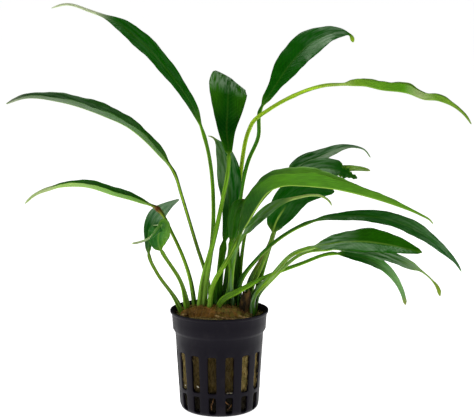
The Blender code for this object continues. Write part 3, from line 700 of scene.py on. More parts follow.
# The pale grey-green stops on the top's outer half are painted sheen.
grow_leaf(
    "folded_back", fold=12, stalk=0.9, sheath=1.1,
    route=[(-18.2, -0.7, 48.1), (-22, 2, 55.7), (-32, 8, 68.7), (-36.1, 12, 76.3),
           (-36.4, 16, 84.4), (-33.5, 20, 94.7), (-26.6, 18, 101.6), (-19.5, 15, 106.5)],
    line=[(0.1, 1.5), (0.24, 2.6), (0.39, 4.3), (0.56, 4.9), (0.68, 3.9), (0.82, 2.1),
          (0.93, 0.9), (1, 0.4)],
    faces=[(-0.4, -0.85, 0.3), (-0.2, -0.95, 0.3), (-0.4, -0.8, 0.5)],
    top=[(0, (14, 80, 12)), (0.45, (16, 84, 18)), (0.6, (70, 118, 76)), (1, (120, 146, 120))],
    under=(110, 145, 90), silver=[(0.4, 0.1), (0.6, 0.6), (0.9, 0.5)],
    tip=((124, 146, 118), 0.86), stalk_tone=(104, 140, 30))
grow_leaf(
    "folded_front", blade=2, fold=16, stalk=0.95, sheath=1.3,
    route=[(-15.6, -1.2, 49.4), (-19, -4.2, 65.7), (-28, -10, 82.4), (-29.7, -12, 86.3),
           (-30.1, -14, 90.7), (-29.2, -16.5, 94.6), (-28, -20, 98.6), (-29.8, -24, 97),
           (-33.8, -27, 93), (-38.1, -29, 91.7), (-43.4, -31, 91)],
    line=[(0.03, 1.2), (0.12, 3.2), (0.22, 5.2), (0.34, 5.8), (0.46, 4.4), (0.55, 2.8),
          (0.66, 2.2), (0.8, 1.8), (0.92, 1.0), (1, 0.4)],
    faces=[(0.1, -0.95, 0.2), (0.1, -0.95, 0.25), (0, -0.5, -0.6), (0.1, 0.6, -0.7)],
    top=[(0, (88, 140, 16)), (0.6, (80, 132, 24))], under=(186, 214, 150),
    far_half=(-1, (18, 90, 12)), middle=((26, 100, 16), 0.55), tip=((190, 204, 156), 0.78),
    rib=(0.2, 0.8), stalk_tone=(100, 140, 26))
print("leaves so far:", len(GROWN))

# %% [markdown]
# ## The upright and upper leaves
#
# The middle leaves stand up and turn their tops to us. One bends over backwards at its end like a
# spoon, and one long young leaf arches far out to the right, lime green because it is new.

# %% Leaves in the middle
grow_leaf(
    "centre_spoon", fold=(10, -14), sheath=1.9, spread=(0, 0.035),
    route=[(-9.4, -2.6, 49.5), (-8, -2, 63.7), (0, 4, 99), (4.9, 13, 128), (3.7, 19, 141.1),
           (4.1, 26, 150.7), (4.4, 36, 160.2), (5.3, 50, 164.5), (6.8, 80, 155.2)],
    line=[(0, 1.1), (0.05, 2.2), (0.1, 3.3), (0.17, 4.8), (0.27, 7.1), (0.35, 8.9), (0.42, 10.1),
          (0.5, 10.8), (0.6, 10.4), (0.75, 8), (0.9, 4), (1, 0.5)],
    faces=[(0, -1, 0.1), (0.35, -0.75, 0.6), (0.7, 0, 1)],
    top=(56, 124, 12), under=(110, 150, 70), middle=((14, 86, 2), 0.5),
    silver=[(0.42, 0), (0.52, 0.75), (0.64, 0.9), (0.76, 0.1)], marks=[(98, 13, (6, 66, 4))],
    tip=((90, 130, 50), 0.9), stalk_tone=(126, 184, 46), sheath_tone=(128, 172, 60))
# The far half's grey-green stops are painted sheen.
grow_leaf(
    "centre_back", blade=2, stalk=1.75, sheath=2.1, clasp=0.7,
    route=[(-1, -1.8, 50.5), (0, 3, 65.7), (1.8, 9, 81), (3.9, 13, 91.2), (5.1, 17, 102.7),
           (5.1, 22, 113.7), (3.3, 27, 124.7), (-0.4, 31, 132.5), (-4.1, 33, 136),
           (-9, 34, 136.7)],
    line=[(0.04, 1.4), (0.15, 2.4), (0.3, 3.7), (0.43, 5.3), (0.5, 6.3), (0.6, 6.5), (0.7, 5.4),
          (0.79, 4), (0.85, 2), (0.89, 0.6), (1, 0.35)],
    faces=[(0.1, -0.95, 0.2), (0.1, -0.95, 0.3), (0.2, -0.8, 0.5)],
    top=(14, 96, 6), under=(100, 140, 80),
    far_half=(-1, [(0, (20, 84, 10)), (0.35, (36, 88, 26)), (0.6, (66, 112, 50))]),
    silver=[(0.3, 0), (0.6, 0.35), (0.8, 0.35)], tip=((186, 190, 130), 0.85),
    stalk_tone=(60, 112, 14), sheath_tone=(44, 92, 16))
grow_leaf(
    "upper_right", blade=5, fold=10, stalk=1.1, clasp=1,
    route=[(6, 7.2, 49.2), (8, 14, 68.7), (9.5, 26, 93.3), (15, 37, 123.1), (20.3, 40, 135.7),
           (20.8, 40, 147.9), (28.5, 45, 160.7), (37.9, 51, 173.9), (49, 57, 184.2),
           (62, 62, 189), (69.8, 65, 187.5), (72.6, 66, 180.6)],
    line=[(0.02, 1.2), (0.07, 2.2), (0.2, 4), (0.31, 7), (0.44, 9.2), (0.55, 9.7), (0.65, 8.8),
          (0.74, 6.5), (0.84, 3.6), (0.88, 1.4), (0.91, 0.7), (0.94, 1.7), (0.98, 1.7), (1, 1.2)],
    faces=[(-0.5, -0.8, 0.3), (-0.45, -0.75, 0.5), (-0.1, -0.6, 0.8)],
    top=(14, 94, 2), under=(110, 150, 60),
    silver=[(0.55, 0), (0.74, 0.4), (0.85, 0.5), (0.89, 0)], tip=((150, 184, 40), 0.88),
    stalk_tone=(66, 136, 24), sheath_tone=PAINTED_SHADE_SHEATH)
grow_leaf(
    "long_bright", blade=6, fold=58, stalk=1.25, sheath=1.4, clasp=0.9, spread=(0.2, 0.34),
    slot="young_leaf",
    route=[(1.6, 7.2, 49.2), (5, 11, 72.7), (10.4, 29, 114.1), (15, 31, 139.2),
           (17.8, 27, 145.2), (25, 25, 150.8), (37.5, 18, 158.6), (52, 7, 164.7),
           (64, -2, 166.5), (69.6, -6, 167.4), (80, -13, 166.1), (91, -19, 165.3),
           (99.4, -24, 162), (105, -28, 161.7), (109.5, -31, 160), (117.5, -36, 153.7),
           (122, -38, 146.2)],
    line=[(0, 1.2), (0.09, 1), (0.17, 0.75), (0.28, 0.9), (0.33, 2.6), (0.36, 4.6), (0.41, 4.2),
          (0.49, 5.2), (0.57, 5.8), (0.61, 5.9), (0.65, 4.4), (0.72, 4.2), (0.79, 3.5),
          (0.84, 1.9), (0.91, 1.2), (0.96, 0.8), (1, 0.35)],
    faces=[(0.1, 0.1, 0.95), (0, 0.08, 1), (0.3, 0.05, 0.95)],
    top=[(0, (124, 168, 30)), (0.7, (110, 160, 30))],
    under=[(0, (134, 174, 24)), (0.14, (150, 180, 60)), (0.28, (170, 190, 110)),
           (0.36, (110, 156, 34)), (0.6, (84, 150, 14)), (0.68, (168, 190, 120)),
           (0.76, (112, 160, 40)), (0.9, (120, 156, 50))],
    tip=((150, 170, 96), 0.92), stalk_tone=(154, 196, 28), sheath_tone=PAINTED_SHADE_SHEATH)
grow_leaf(
    "young", blade=2, fold=20, stalk=1.35, sheath=1.6, clasp=0.8, slot="young_leaf",
    route=[(3.6, -2.2, 50.5), (6, -1, 66.7), (6, 2, 84.7), (7, 5, 93.7), (9, 9, 101.7),
           (14, 19, 105.7)],
    line=[(0.05, 1.3), (0.2, 2.4), (0.4, 3.8), (0.55, 4), (0.75, 3.3), (0.9, 1.7), (1, 0.5)],
    faces=[(0.3, -0.9, 0.2), (0.3, -0.8, 0.5), (0.2, -0.4, 0.9)],
    top=(40, 106, 6), under=(100, 150, 30), tip=((112, 112, 34), 0.84),
    sheath_tone=(52, 100, 16))
print("leaves so far:", len(GROWN))

# %% [markdown]
# ## The right-hand leaves
#
# On the right the leaves arch over one another in a fan. The nearest is the broadest: it folds
# sharply along its midrib, so that we see its bright underside in front and its dark top behind.

# %% Leaves on the right
# The underside's dark stops near the foot and the dark mark 50 mm along are painted shade.
grow_leaf(
    "great_right", fold=60, stalk=1.5, sheath=2.1, slot="young_leaf",
    route=[(-5.2, -2.2, 50.6), (-3.4, -5.4, 64.7), (3.5, -8, 77.7), (8, -10, 86.6),
           (11.5, -12, 96.6), (16.6, -15, 108.9), (22, -19, 116.9), (30.1, -24, 121.5),
           (40.3, -29, 122.7), (50.2, -33.5, 122.3), (61, -38, 120), (72, -42, 117.2),
           (85, -46.5, 112.9), (95, -50, 108.7), (99.5, -51.5, 106.2), (103.2, -52.3, 99.7)],
    line=[(0.02, 2.2), (0.08, 4.8), (0.18, 8.4), (0.25, 8.8), (0.33, 9.4), (0.41, 10),
          (0.5, 9.9), (0.55, 8), (0.6, 6), (0.69, 4.6), (0.8, 2.8), (0.85, 1.8), (0.9, 1),
          (0.95, 0.55), (1, 0.4)],
    faces=[(-0.75, 0, 0.5), (-0.5, -0.17, 0.85), (-0.2, -0.14, 1), (0.05, 0.12, 1),
           (0.15, 0.25, 1), (0.2, 0.3, 0.9)],
    top=[(0, (40, 96, 4)), (0.3, (44, 104, 4)), (0.4, (110, 176, 44))],
    under=[(0, (10, 50, 2)), (0.12, (14, 60, 2)), (0.22, (26, 82, 2)), (0.34, (72, 128, 16)),
           (0.6, (76, 134, 20)), (0.75, (88, 142, 30))],
    marks=[(50, 11, (24, 76, 4))], tip=((156, 180, 96), 0.92), rib=(0.3, 1),
    stalk_tone=(112, 172, 30), sheath_tone=(128, 178, 56))
grow_leaf(
    "under_great", stalk=1.1, clasp=0.9, rolled=(0.5, 0.64),
    route=[(5.6, -2.6, 50.8), (6, -4.2, 64.7), (8, -4, 80.7), (10.5, -4, 88.1), (15, -4.5, 93.8),
           (19.5, -6, 99.1), (24.4, -8, 103.7), (29.3, -10, 107.3), (34.2, -12, 109.6),
           (40, -15, 111.6), (45.8, -18, 113), (49.6, -20, 113), (53.4, -22, 111.2),
           (56.3, -24, 106.5)],
    line=[(0.03, 1.3), (0.12, 2.4), (0.23, 3.2), (0.34, 3.3), (0.45, 2.6), (0.53, 1.5),
          (0.6, 0.85), (0.7, 0.65), (0.9, 0.6), (1, 0.4)],
    faces=[(-0.5, -0.8, 0.4), (-0.3, -0.7, 0.6), (0.2, -0.4, 0.9)],
    top=[(0, (34, 96, 8)), (0.25, (60, 120, 24)), (0.45, (96, 148, 64))], under=(110, 150, 60),
    silver=[(0.1, 0.5), (0.4, 0.4), (0.55, 0)], tip=((164, 188, 100), 0.48), rib=(0.1, 0.6),
    sheath_tone=(44, 92, 16))
grow_leaf(
    "dark_right", fold=10, sheath=1.4,
    route=[(12.4, -1.6, 50), (16.4, -0.4, 62.7), (23.5, -0.5, 79.2), (26.7, -0.5, 89),
           (28.7, -0.5, 96.7), (32.2, 0, 102.7), (36.2, 1, 108.1), (41.5, 2, 111.7),
           (50, 3, 112.7), (60, 4, 111)],
    line=[(0.03, 1.5), (0.12, 4.5), (0.22, 6.8), (0.35, 8.2), (0.5, 8.5), (0.65, 7.6),
          (0.8, 5.2), (0.92, 2.5), (1, 0.5)],
    faces=[(-0.5, -0.8, 0.3), (-0.3, -0.85, 0.45), (-0.1, -0.7, 0.7)],
    top=(14, 90, 4), under=(100, 140, 60), tip=((40, 100, 20), 0.9), rib=(0.95, 0.6),
    rib_fades=(1, 0.2, 0.4), stalk_tone=(120, 164, 50))
# The grey-green stops on the top and on the far half are painted sheen.
grow_leaf(
    "top_back", blade=4, stalk=0.95, sheath=1.3,
    route=[(17.6, 7, 48.1), (20, 5.5, 62.7), (25, 8, 79.7), (30.5, 13, 96.7), (35.3, 21, 116.2),
           (39.5, 25, 120.7), (44.8, 28, 123.5), (51.2, 31, 125.7), (58.2, 34, 128.3),
           (65.7, 37, 130.3), (71.8, 40, 129.9), (76.2, 42, 128.3), (81, 43, 122.1)],
    line=[(0.03, 1.6), (0.13, 4.6), (0.25, 5.4), (0.38, 5.2), (0.5, 3.8), (0.67, 2.2),
          (0.79, 1.4), (0.87, 0.8), (1, 0.35)],
    faces=[(-0.3, -0.6, 0.75), (0, -0.55, 0.85), (0.3, -0.3, 0.9)],
    top=[(0, (22, 92, 10)), (0.3, (26, 90, 18)), (0.5, (48, 104, 44)), (0.8, (60, 108, 60))],
    under=(110, 145, 100),
    far_half=(1, [(0, (30, 92, 24)), (0.3, (50, 98, 44)), (0.42, (116, 144, 104)),
                  (0.7, (118, 148, 108))]),
    silver=[(0.1, 0), (0.3, 0.5), (0.8, 0.5)], tip=((120, 144, 106), 0.86),
    sheath_tone=PAINTED_SHADE_SHEATH)
# The grey-green stops near the foot of the top are painted sheen.
grow_leaf(
    "ragged_back", fold=12, stalk=0.95, sheath=1.3, torn=1,
    route=[(13.7, 7.3, 48.7), (15, 6.5, 62.7), (24, 11, 79.7), (35.9, 17, 106.1),
           (40, 16, 113.6), (44, 14.5, 118.7), (49.1, 13.5, 121.3), (54.6, 12, 122.4),
           (60.7, 10, 121.3), (65.7, 9, 119.2), (71.7, 8, 117.1)],
    line=[(0.03, 1.6), (0.15, 4), (0.3, 6), (0.45, 7), (0.6, 7), (0.75, 6), (0.86, 4.4),
          (0.93, 2.6), (1, 0.8)],
    faces=[(-0.2, -0.7, 0.7), (0.1, -0.65, 0.75), (0.2, -0.6, 0.75)],
    top=[(0, (40, 96, 30)), (0.3, (50, 98, 42)), (0.55, (40, 98, 28)), (0.7, (20, 86, 8))],
    under=(100, 140, 80), silver=[(0, 0.3), (0.25, 0.55), (0.55, 0.3), (0.7, 0)],
    marks=[(34, 9, (156, 132, 50))], tip=((30, 92, 10), 0.8), sheath_tone=PAINTED_SHADE_SHEATH)
grow_leaf(
    "slim_back", stalk=0.9, sheath=1.2, clasp=1,
    route=[(10, 7.8, 48.9), (11, 14, 72.7), (17, 24, 96.7), (34, 31, 113.7), (57.6, 31, 118.1),
           (65.4, 30, 119.4), (72, 28, 119.9), (80, 26, 118.9)],
    line=[(0.05, 1.2), (0.3, 2.4), (0.6, 3.4), (0.75, 3), (0.9, 1.6), (1, 0.5)],
    faces=[(0, -0.5, 0.85), (0, -0.5, 0.85), (0, -0.5, 0.85)],
    top=[(0, (62, 128, 10)), (0.6, (110, 146, 30)), (0.8, (124, 168, 44))], under=(100, 150, 36),
    tip=((150, 170, 84), 0.88), sheath_tone=PAINTED_SHADE_SHEATH)
grow_leaf(
    "right_arch", blade=4, stalk=1.05, sheath=1.4, clasp=0.9,
    route=[(9.4, -2.2, 50.6), (10, -3.8, 64.7), (20, -5.5, 79.7), (34.3, -6, 92), (43, -6, 96.6),
           (52, -6, 99.4), (61.5, -5, 100.1), (74.6, -4, 100.2), (89.3, -3, 97.2),
           (98.1, -2, 93.3), (106.4, -1, 87.8), (113.7, 0, 81.7), (120.1, 1, 75.3),
           (124.8, 2, 67.5)],
    line=[(0.03, 1.3), (0.1, 1.9), (0.2, 2.7), (0.27, 3.5), (0.34, 4.1), (0.42, 4.3), (0.5, 4.7),
          (0.57, 5), (0.64, 4.7), (0.72, 4), (0.79, 3), (0.87, 1.8), (0.93, 1), (1, 0.35)],
    faces=[(-0.2, -0.6, 0.8), (0.1, -0.7, 0.7), (0.5, -0.6, 0.6)],
    top=[(0, (20, 88, 8)), (0.4, (18, 86, 10)), (0.6, (22, 90, 14)), (0.85, (40, 104, 44))],
    under=(110, 150, 60), silver=[(0.3, 0.05), (0.5, 0.1), (0.8, 0.3)],
    tip=((84, 126, 84), 0.92), stalk_tone=(50, 112, 12), sheath_tone=(40, 88, 14))
# The grey-green tones at the foot of the top and of the far half are painted sheen.
grow_leaf(
    "broad_right", blade=4, fold=16, stalk=1.2, sheath=2.4,
    route=[(16.6, -4.2, 49.3), (17, -5.2, 58.7), (26, -7.5, 69.7), (38.9, -10, 83.1),
           (44.4, -11, 85), (52.6, -14, 87.6), (62.2, -18, 89.9), (72.2, -22, 90.8),
           (84.6, -26, 89.6), (92.9, -30, 88.1), (100.9, -32, 86.5)],
    line=[(0.03, 1.5), (0.1, 2.6), (0.19, 4.6), (0.32, 6.2), (0.4, 6.7), (0.5, 7.8), (0.64, 7),
          (0.75, 5.4), (0.84, 3.8), (0.92, 2.2), (0.97, 1), (1, 0.4)],
    faces=[(-0.1, -0.6, 0.8), (0, -0.7, 0.7), (0.1, -0.7, 0.7)],
    top=[(0, (60, 106, 44)), (0.2, (34, 96, 16)), (0.36, (30, 90, 2)), (0.7, (36, 102, 4))],
    under=(110, 150, 70),
    far_half=(1, [(0, (60, 108, 44)), (0.3, (32, 98, 10)), (0.5, (26, 104, 2))]),
    silver=[(0, 0.5), (0.22, 0.65), (0.36, 0.2), (0.44, 0)], tip=((60, 120, 16), 0.9),
    rib=(0.3, 0.6), stalk_tone=(120, 172, 22), sheath_tone=(50, 96, 12))
# The pale grey-green stops on the top's outer half are painted sheen.
grow_leaf(
    "hanging", blade=5, sheath=1.4,
    route=[(-1.8, -3.2, 50.8), (1.6, -6, 57.6), (9.5, -8, 62.6), (21.6, -4, 68.2),
           (41.2, 6, 73.8), (57.9, 12, 78.1), (67.4, 16, 76.3), (77, 18, 74), (85.4, 19, 69.6),
           (91.4, 20, 63), (95.1, 20, 56.1), (97.5, 19, 47.3)],
    line=[(0.03, 1.2), (0.18, 2.8), (0.36, 3.9), (0.45, 4.2), (0.54, 3.2), (0.7, 2.2),
          (0.85, 1.6), (0.94, 1.3), (1, 0.9)],
    faces=[(0.1, -0.6, 0.8), (0.35, -0.7, 0.6), (0.5, -0.8, 0.3)],
    top=[(0, (16, 84, 10)), (0.35, (30, 96, 16)), (0.5, (72, 136, 48)), (0.7, (126, 178, 104))],
    under=(110, 150, 70), silver=[(0.3, 0.05), (0.5, 0.3), (0.8, 0.2)],
    tip=((160, 166, 84), 0.86), stalk_tone=(104, 168, 20), sheath_tone=(110, 160, 34))
# The pale grey-green stops on the top's outer half are painted sheen.
grow_leaf(
    "far_right", blade=4, stalk=0.95, sheath=1.2,
    route=[(18, -0.3, 48.9), (20, -1.4, 59.7), (26.3, -3.2, 67.3), (45, -1.2, 81.7),
           (53.9, -1, 82.6), (63.8, 2, 82.9), (74, 5, 81.2), (87.3, 8, 77), (97, 10, 72.7),
           (101.6, 11, 70.4), (109, 12, 64.7), (112.3, 12.5, 60.4), (114.8, 13, 52.7)],
    line=[(0.03, 1.2), (0.15, 3.2), (0.3, 4.3), (0.5, 4.3), (0.6, 3.8), (0.66, 2.8), (0.71, 1.2),
          (0.76, 0.6), (0.84, 0.6), (0.88, 1.5), (0.94, 1.7), (1, 1.1)],
    faces=[(0, -0.6, 0.8), (0.2, -0.6, 0.75), (0.5, -0.6, 0.6)],
    top=[(0, (26, 84, 16)), (0.4, (40, 98, 28)), (0.55, (76, 128, 66)), (0.7, (160, 196, 120)),
         (0.9, (140, 168, 50))],
    under=(120, 150, 100), silver=[(0.3, 0.4), (0.42, 0.95), (0.64, 0.95), (0.74, 0)],
    tip=((140, 162, 60), 0.92), stalk_tone=(110, 156, 22), sheath_tone=(70, 110, 20))
print("leaves in all:", len(GROWN))

# %% [markdown]
# ## The rhizomes
#
# The rhizome is the plant's thick creeping stem. Old leaves leave ring-shaped scars around it, so
# it looks like a stack of worn collars, reddish brown where it is old and olive where it is young,
# with lighter patches where the bark has worn off and darker ones where it stays wet.

# %% Rhizome finish
OLD_BARK, YOUNG_BARK = paint(146, 104, 34), paint(150, 140, 58)
WORN_BARK, WET_BARK = paint(206, 142, 66), paint(58, 42, 14)
BARK_FIBRE, SCAR_TONE = paint(158, 116, 54), paint(54, 34, 10)


def rhizome_finish():
    """Old bark turning into young along the stem, with worn and wet patches, fibres and scars."""
    material, tree, shader, place = new_finish("rhizome")
    patches = noise(tree, place, 170.0, 5.0)
    fibres = noise(tree, place, 900.0, 3.0, (1.0, 0.25, 1.0))
    young = weigh(tree, [(attribute(tree, "young"), 1.0), (patches, 1.2)], -0.6)
    worn = noise(tree, place, 150.0, 2.0)
    bark = blend(tree, fade(tree, young, 0.25, 0.75), OLD_BARK, YOUNG_BARK)
    bark = blend(tree, fade(tree, worn, 0.52, 0.64, 0.0, 0.75), bark, WORN_BARK)
    bark = blend(tree, fade(tree, worn, 0.34, 0.46, 0.7, 0.0), bark, WET_BARK)
    bark = blend(tree, fade(tree, fibres, 0.5, 0.75), bark, BARK_FIBRE)
    bark = blend(tree, times(tree, attribute(tree, "scar"), 0.4), bark, SCAR_TONE)
    dress(tree, shader, bark, 0.62, 0.3, weigh(tree, [(patches, 0.6), (fibres, 0.5)]), 0.5)
    return material


FINISHES["rhizome"] = rhizome_finish()
print("rhizome finish ready")

# %% [markdown]
# A tube carried along a route, with its radius changing along and around, gives the rhizome its
# knobs, its rounded ends and its shallow scars. The same tube will serve for the roots.

# %% Tubes along a route
UP = np.array([0.0, 0.0, 1.0])
FRONT_ROUTE = [(-19.5, 0, 47.2), (-14, -1.8, 49.1), (-6, -3.5, 49.9), (3, -3.7, 49.9),
               (12, -3.4, 49.7), (18.5, -2.6, 48.3)]
BACK_ROUTE = [(-10.5, 7.8, 48.1), (-3, 7.2, 49), (6, 7.4, 49), (14, 7.2, 48.6), (19, 7.0, 47.7)]
FRONT_RADIUS, BACK_RADIUS = 4.2, 3.7
KNOB_SWELLING, SCAR_DEPTH, SCAR_WIDTH = 0.10, 0.035, 0.12
END_TAPER, ROUNDED_END = 0.45, 0.05


def tube_rings(route, places, radii):
    """Circles along a route; across is route x up, so they don't twist. Radii: (station, side)."""
    centre = curve_through(route, places)
    ahead = unit(np.gradient(centre, places, axis=0))
    across = unit(np.cross(ahead, UP))
    up = np.cross(across, ahead)
    angle = math.pi - full_turn(radii.shape[1])
    wide, high = np.cos(angle) * radii, np.sin(angle) * radii
    return centre[:, None] + wide[..., None] * across[:, None] + high[..., None] * up[:, None]


def rhizome(name, node, route, radius, knobs, scar_spacing, seed):
    """Radius = knobs * tapered ends * shallow rings, dented by slow waves around the tube."""
    stations, sides = 150, 44
    t = np.linspace(0, 1, stations)
    rng = np.random.default_rng(seed)
    swell = 1 + KNOB_SWELLING * np.abs(np.sin(math.pi * knobs * t))
    outer = np.abs(2 * t - 1)
    ends = (1 - END_TAPER * outer ** 6) * np.sqrt(np.clip((1 - outer) / ROUNDED_END, 0.03, 1))
    angle = full_turn(sides)[None, :]
    turns = (t * distance_along(route)[-1] / scar_spacing)[:, None]
    phase = turns + 0.18 * np.sin(2 * angle + rng.uniform(0, 6))
    groove = np.exp(-((phase % 1.0 - 0.5) / SCAR_WIDTH) ** 2)
    dents = 0.03 * np.sin(3 * angle + 9 * t[:, None]) + 0.02 * np.sin(5 * angle - 23 * t[:, None])
    shape = (swell * ends / (1 + KNOB_SWELLING))[:, None] * (1 - SCAR_DEPTH * groove + dents)
    young = smooth_step(t, 0.3, 0.7)[:, None] + 0 * angle
    mesh = closed_skin(name, tube_rings(route, t, radius * shape), t, scar=groove, young=young)
    add_piece(name, mesh, FINISHES["rhizome"], "rhizome", node)


rhizome("front_rhizome", "rhizome_front", FRONT_ROUTE, FRONT_RADIUS, 6, 3.4, 3)
rhizome("back_rhizome", "rhizome_back", BACK_ROUTE, BACK_RADIUS, 4, 3.0, 8)
print("the front rhizome is", round(distance_along(FRONT_ROUTE)[-1], 1), "mm long")

# %% [markdown]
# ## Roots
#
# A few wiry tan roots run over the rock wool before they dive into it. They are small, so a thin
# wandering tube with a few lumps does.

# %% Root finish and roots
ROOT_RADIUS, ROOT_SIDES, ROOT_THINNING = 0.6, 14, 0.3
ROOTS = {
    "root_left": [(-17, -5.2, 50.1), (-19, -7.5, 50.1), (-18, -10.5, 49.6), (-14, -13, 49.6)],
    "root_front": [(-2, -9, 50.3), (1, -11.5, 49.9), (6, -14, 49.7), (9, -17.5, 49.7)],
    "root_right": [(10, -9, 50.3), (13, -12, 49.9), (17, -12.5, 49.7), (20, -9, 49.7)],
}


def plain_bark(name, light, dark, roughness, depth):
    """Two tones in streaks, for roots and dry sheath."""
    material, tree, shader, place = new_finish(name)
    streaks = noise(tree, place, 700.0, 4.0, (1.0, 1.0, 0.3))
    bark = blend(tree, fade(tree, streaks, 0.35, 0.65), light, dark)
    dress(tree, shader, bark, roughness, 0.25, streaks, depth)
    return material


FINISHES["root"] = plain_bark("root", paint(190, 160, 104), paint(120, 88, 44), 0.7, 0.15)
t = np.linspace(0, 1, 60)
lumps = 1 + 0.12 * np.sin(47 * t) + 0.08 * np.sin(101 * t + 1)
thinning = (1 - ROOT_THINNING * t) * lumps
thinning = thinning * np.sqrt(np.clip((1 - t) / ROUNDED_END, 0.1, 1))
radii = (ROOT_RADIUS * thinning)[:, None] * np.ones(ROOT_SIDES)
for node_name, route in ROOTS.items():
    mesh = closed_skin(node_name, tube_rings(route, t, radii), t)
    add_piece("wiry_" + node_name, mesh, FINISHES["root"], "root", node_name)
print("roots:", len(ROOTS))

# %% [markdown]
# ## The dried sheath
#
# One dead leaf has left a brown papery sheath on the rhizome. It is a short flattened tube whose
# sides curl more and more towards its ragged upper end.

# %% Dried sheath
FINISHES["dry_sheath"] = plain_bark("dry_sheath", paint(96, 72, 34), paint(30, 23, 8), 0.9, 0.4)
SHEATH_ROUTE = [(12.4, -6.0, 51.2), (12.8, -7.0, 56.2), (13.4, -7.6, 61.2)]
t = np.linspace(0, 1, 40)
angle = full_turn(36)
curl = 1 + 0.35 * np.sin(3 * angle + 2) * t[:, None] + 0.14 * np.sin(9 * angle)
wide = np.interp(t, [0, 0.4, 0.8, 1], [1.8, 2.5, 2.2, 1.5])[:, None] * np.cos(-angle) * curl
deep = np.interp(t, [0, 0.5, 1], [1.2, 1.0, 0.5])[:, None] * np.sin(-angle) * curl
ragged = 1.6 * np.sin(3 * angle + 1) + 0.9 * np.sin(8 * angle)
ragged = ragged * smooth_step(t, 0.4, 1.0)[:, None]
rings = curve_through(SHEATH_ROUTE, t)[:, None] + np.stack([wide, deep, ragged], axis=-1)
mesh = closed_skin("dried_sheath", rings[::-1], t)
add_piece("dried_sheath", mesh, FINISHES["dry_sheath"], "dry_sheath", "dry_leaf_base")
print("sheath height:", round(float(np.ptp(rings[..., 2])), 1), "mm")

# %% [markdown]
# ## The net pot
#
# The pot is a thin moulded cup with tall slots, and below them short holes that run into its
# rounded foot. It could be cut with booleans, as in the CAD model, but here the wall is one grid of
# points whose columns are drawn to the slots' edges. Leaving out the squares inside each slot
# opens it, Solidify gives the wall its thickness, and Bevel softens every moulded edge.

# %% Pot profile
RIM_RADIUS, POT_HEIGHT = 25.0, 51.7
SLOT_COUNT, SLOT_TURN = 15, -9.5
SLOT_HALF, SLOT_LOW, SLOT_HIGH = 2.25, 12.6, 31.7
HOLE_HALF, HOLE_LOW, HOLE_HIGH = 1.9, 1.8, 10.6
DRAIN_HALF, DRAIN_IN, DRAIN_OUT = 1.2, 8.5, 14.5
WALL = 1.1
CORNER = 0.9
FOOT_ROUNDING = 3.6
SHOULDER = (22.5, 40.3)
FOOT_WALL = (20.2, FOOT_ROUNDING)


def slot_rows(low, high):
    """Heights through an opening from its top down, close together near its rounded ends."""
    near = CORNER * np.array([0.0, 0.13, 0.4, 1.0])
    between = np.linspace(low + CORNER, high - CORNER, 6)[1:-1]
    return np.concatenate([low + near, between, high - near[::-1]])[::-1]


def opening_half(place, low, high, half):
    """Half width of an opening with quarter-round corners; outside it, the width of its end."""
    into = np.clip(np.minimum(place - low, high - place), 0, CORNER)
    return half - CORNER + np.sqrt(CORNER ** 2 - (CORNER - into) ** 2)


def wall_radius(z):
    """The wall between shoulder and foot is a plain cone."""
    return np.interp(z, [FOOT_WALL[1], SHOULDER[1]], [FOOT_WALL[0], SHOULDER[0]])


wall_places = [(RIM_RADIUS, POT_HEIGHT), (RIM_RADIUS, 51.1), (RIM_RADIUS, 50.6), (24.6, 50.1),
               (24.2, 49.9), (23.95, 46.2), (23.7, 42.3), (23.3, 41.6), (22.8, 40.8), SHOULDER,
               (22.2, 36.2)]
side_rows = np.concatenate([slot_rows(SLOT_LOW, SLOT_HIGH), slot_rows(HOLE_LOW, HOLE_HIGH)])
side_rows = side_rows[side_rows > FOOT_ROUNDING]
side_places = np.stack([wall_radius(side_rows), side_rows], axis=1)
turn = np.radians(np.linspace(0, 90, 9))
foot_places = np.stack([FOOT_WALL[0] - FOOT_ROUNDING * (1 - np.cos(turn)),
                        FOOT_ROUNDING * (1 - np.sin(turn))], axis=1)
floor_radii = np.array([15.6, DRAIN_OUT, 14.2, 13.0, 11.5, 10.0, 8.8, DRAIN_IN, 6.0, 3.0])
floor_places = np.stack([floor_radii, 0 * floor_radii], axis=1)
profile = np.concatenate([wall_places, side_places, foot_places, floor_places])
print("rows in the pot's profile:", len(profile))

# %% [markdown]
# ## The pot's wall
#
# Every row of the profile is turned about the axis into a ring. Eight columns make one of the
# fifteen pitches: four lie across the opening and follow its edges, and four lie on the bar beside
# it. A square is left out when it lies within an opening, and every third pitch has a drain slot.

# %% Pot wall
ACROSS_OPENING = np.array([-1, -0.5, 0, 0.5])
ACROSS_BAR = np.array([0, 0.25, 0.5, 0.75])
DRAIN_EVERY = 3
NEAR, NEAR_FOOT = 0.01, 0.4
TURN_BETWEEN = (15.0, 19.0)


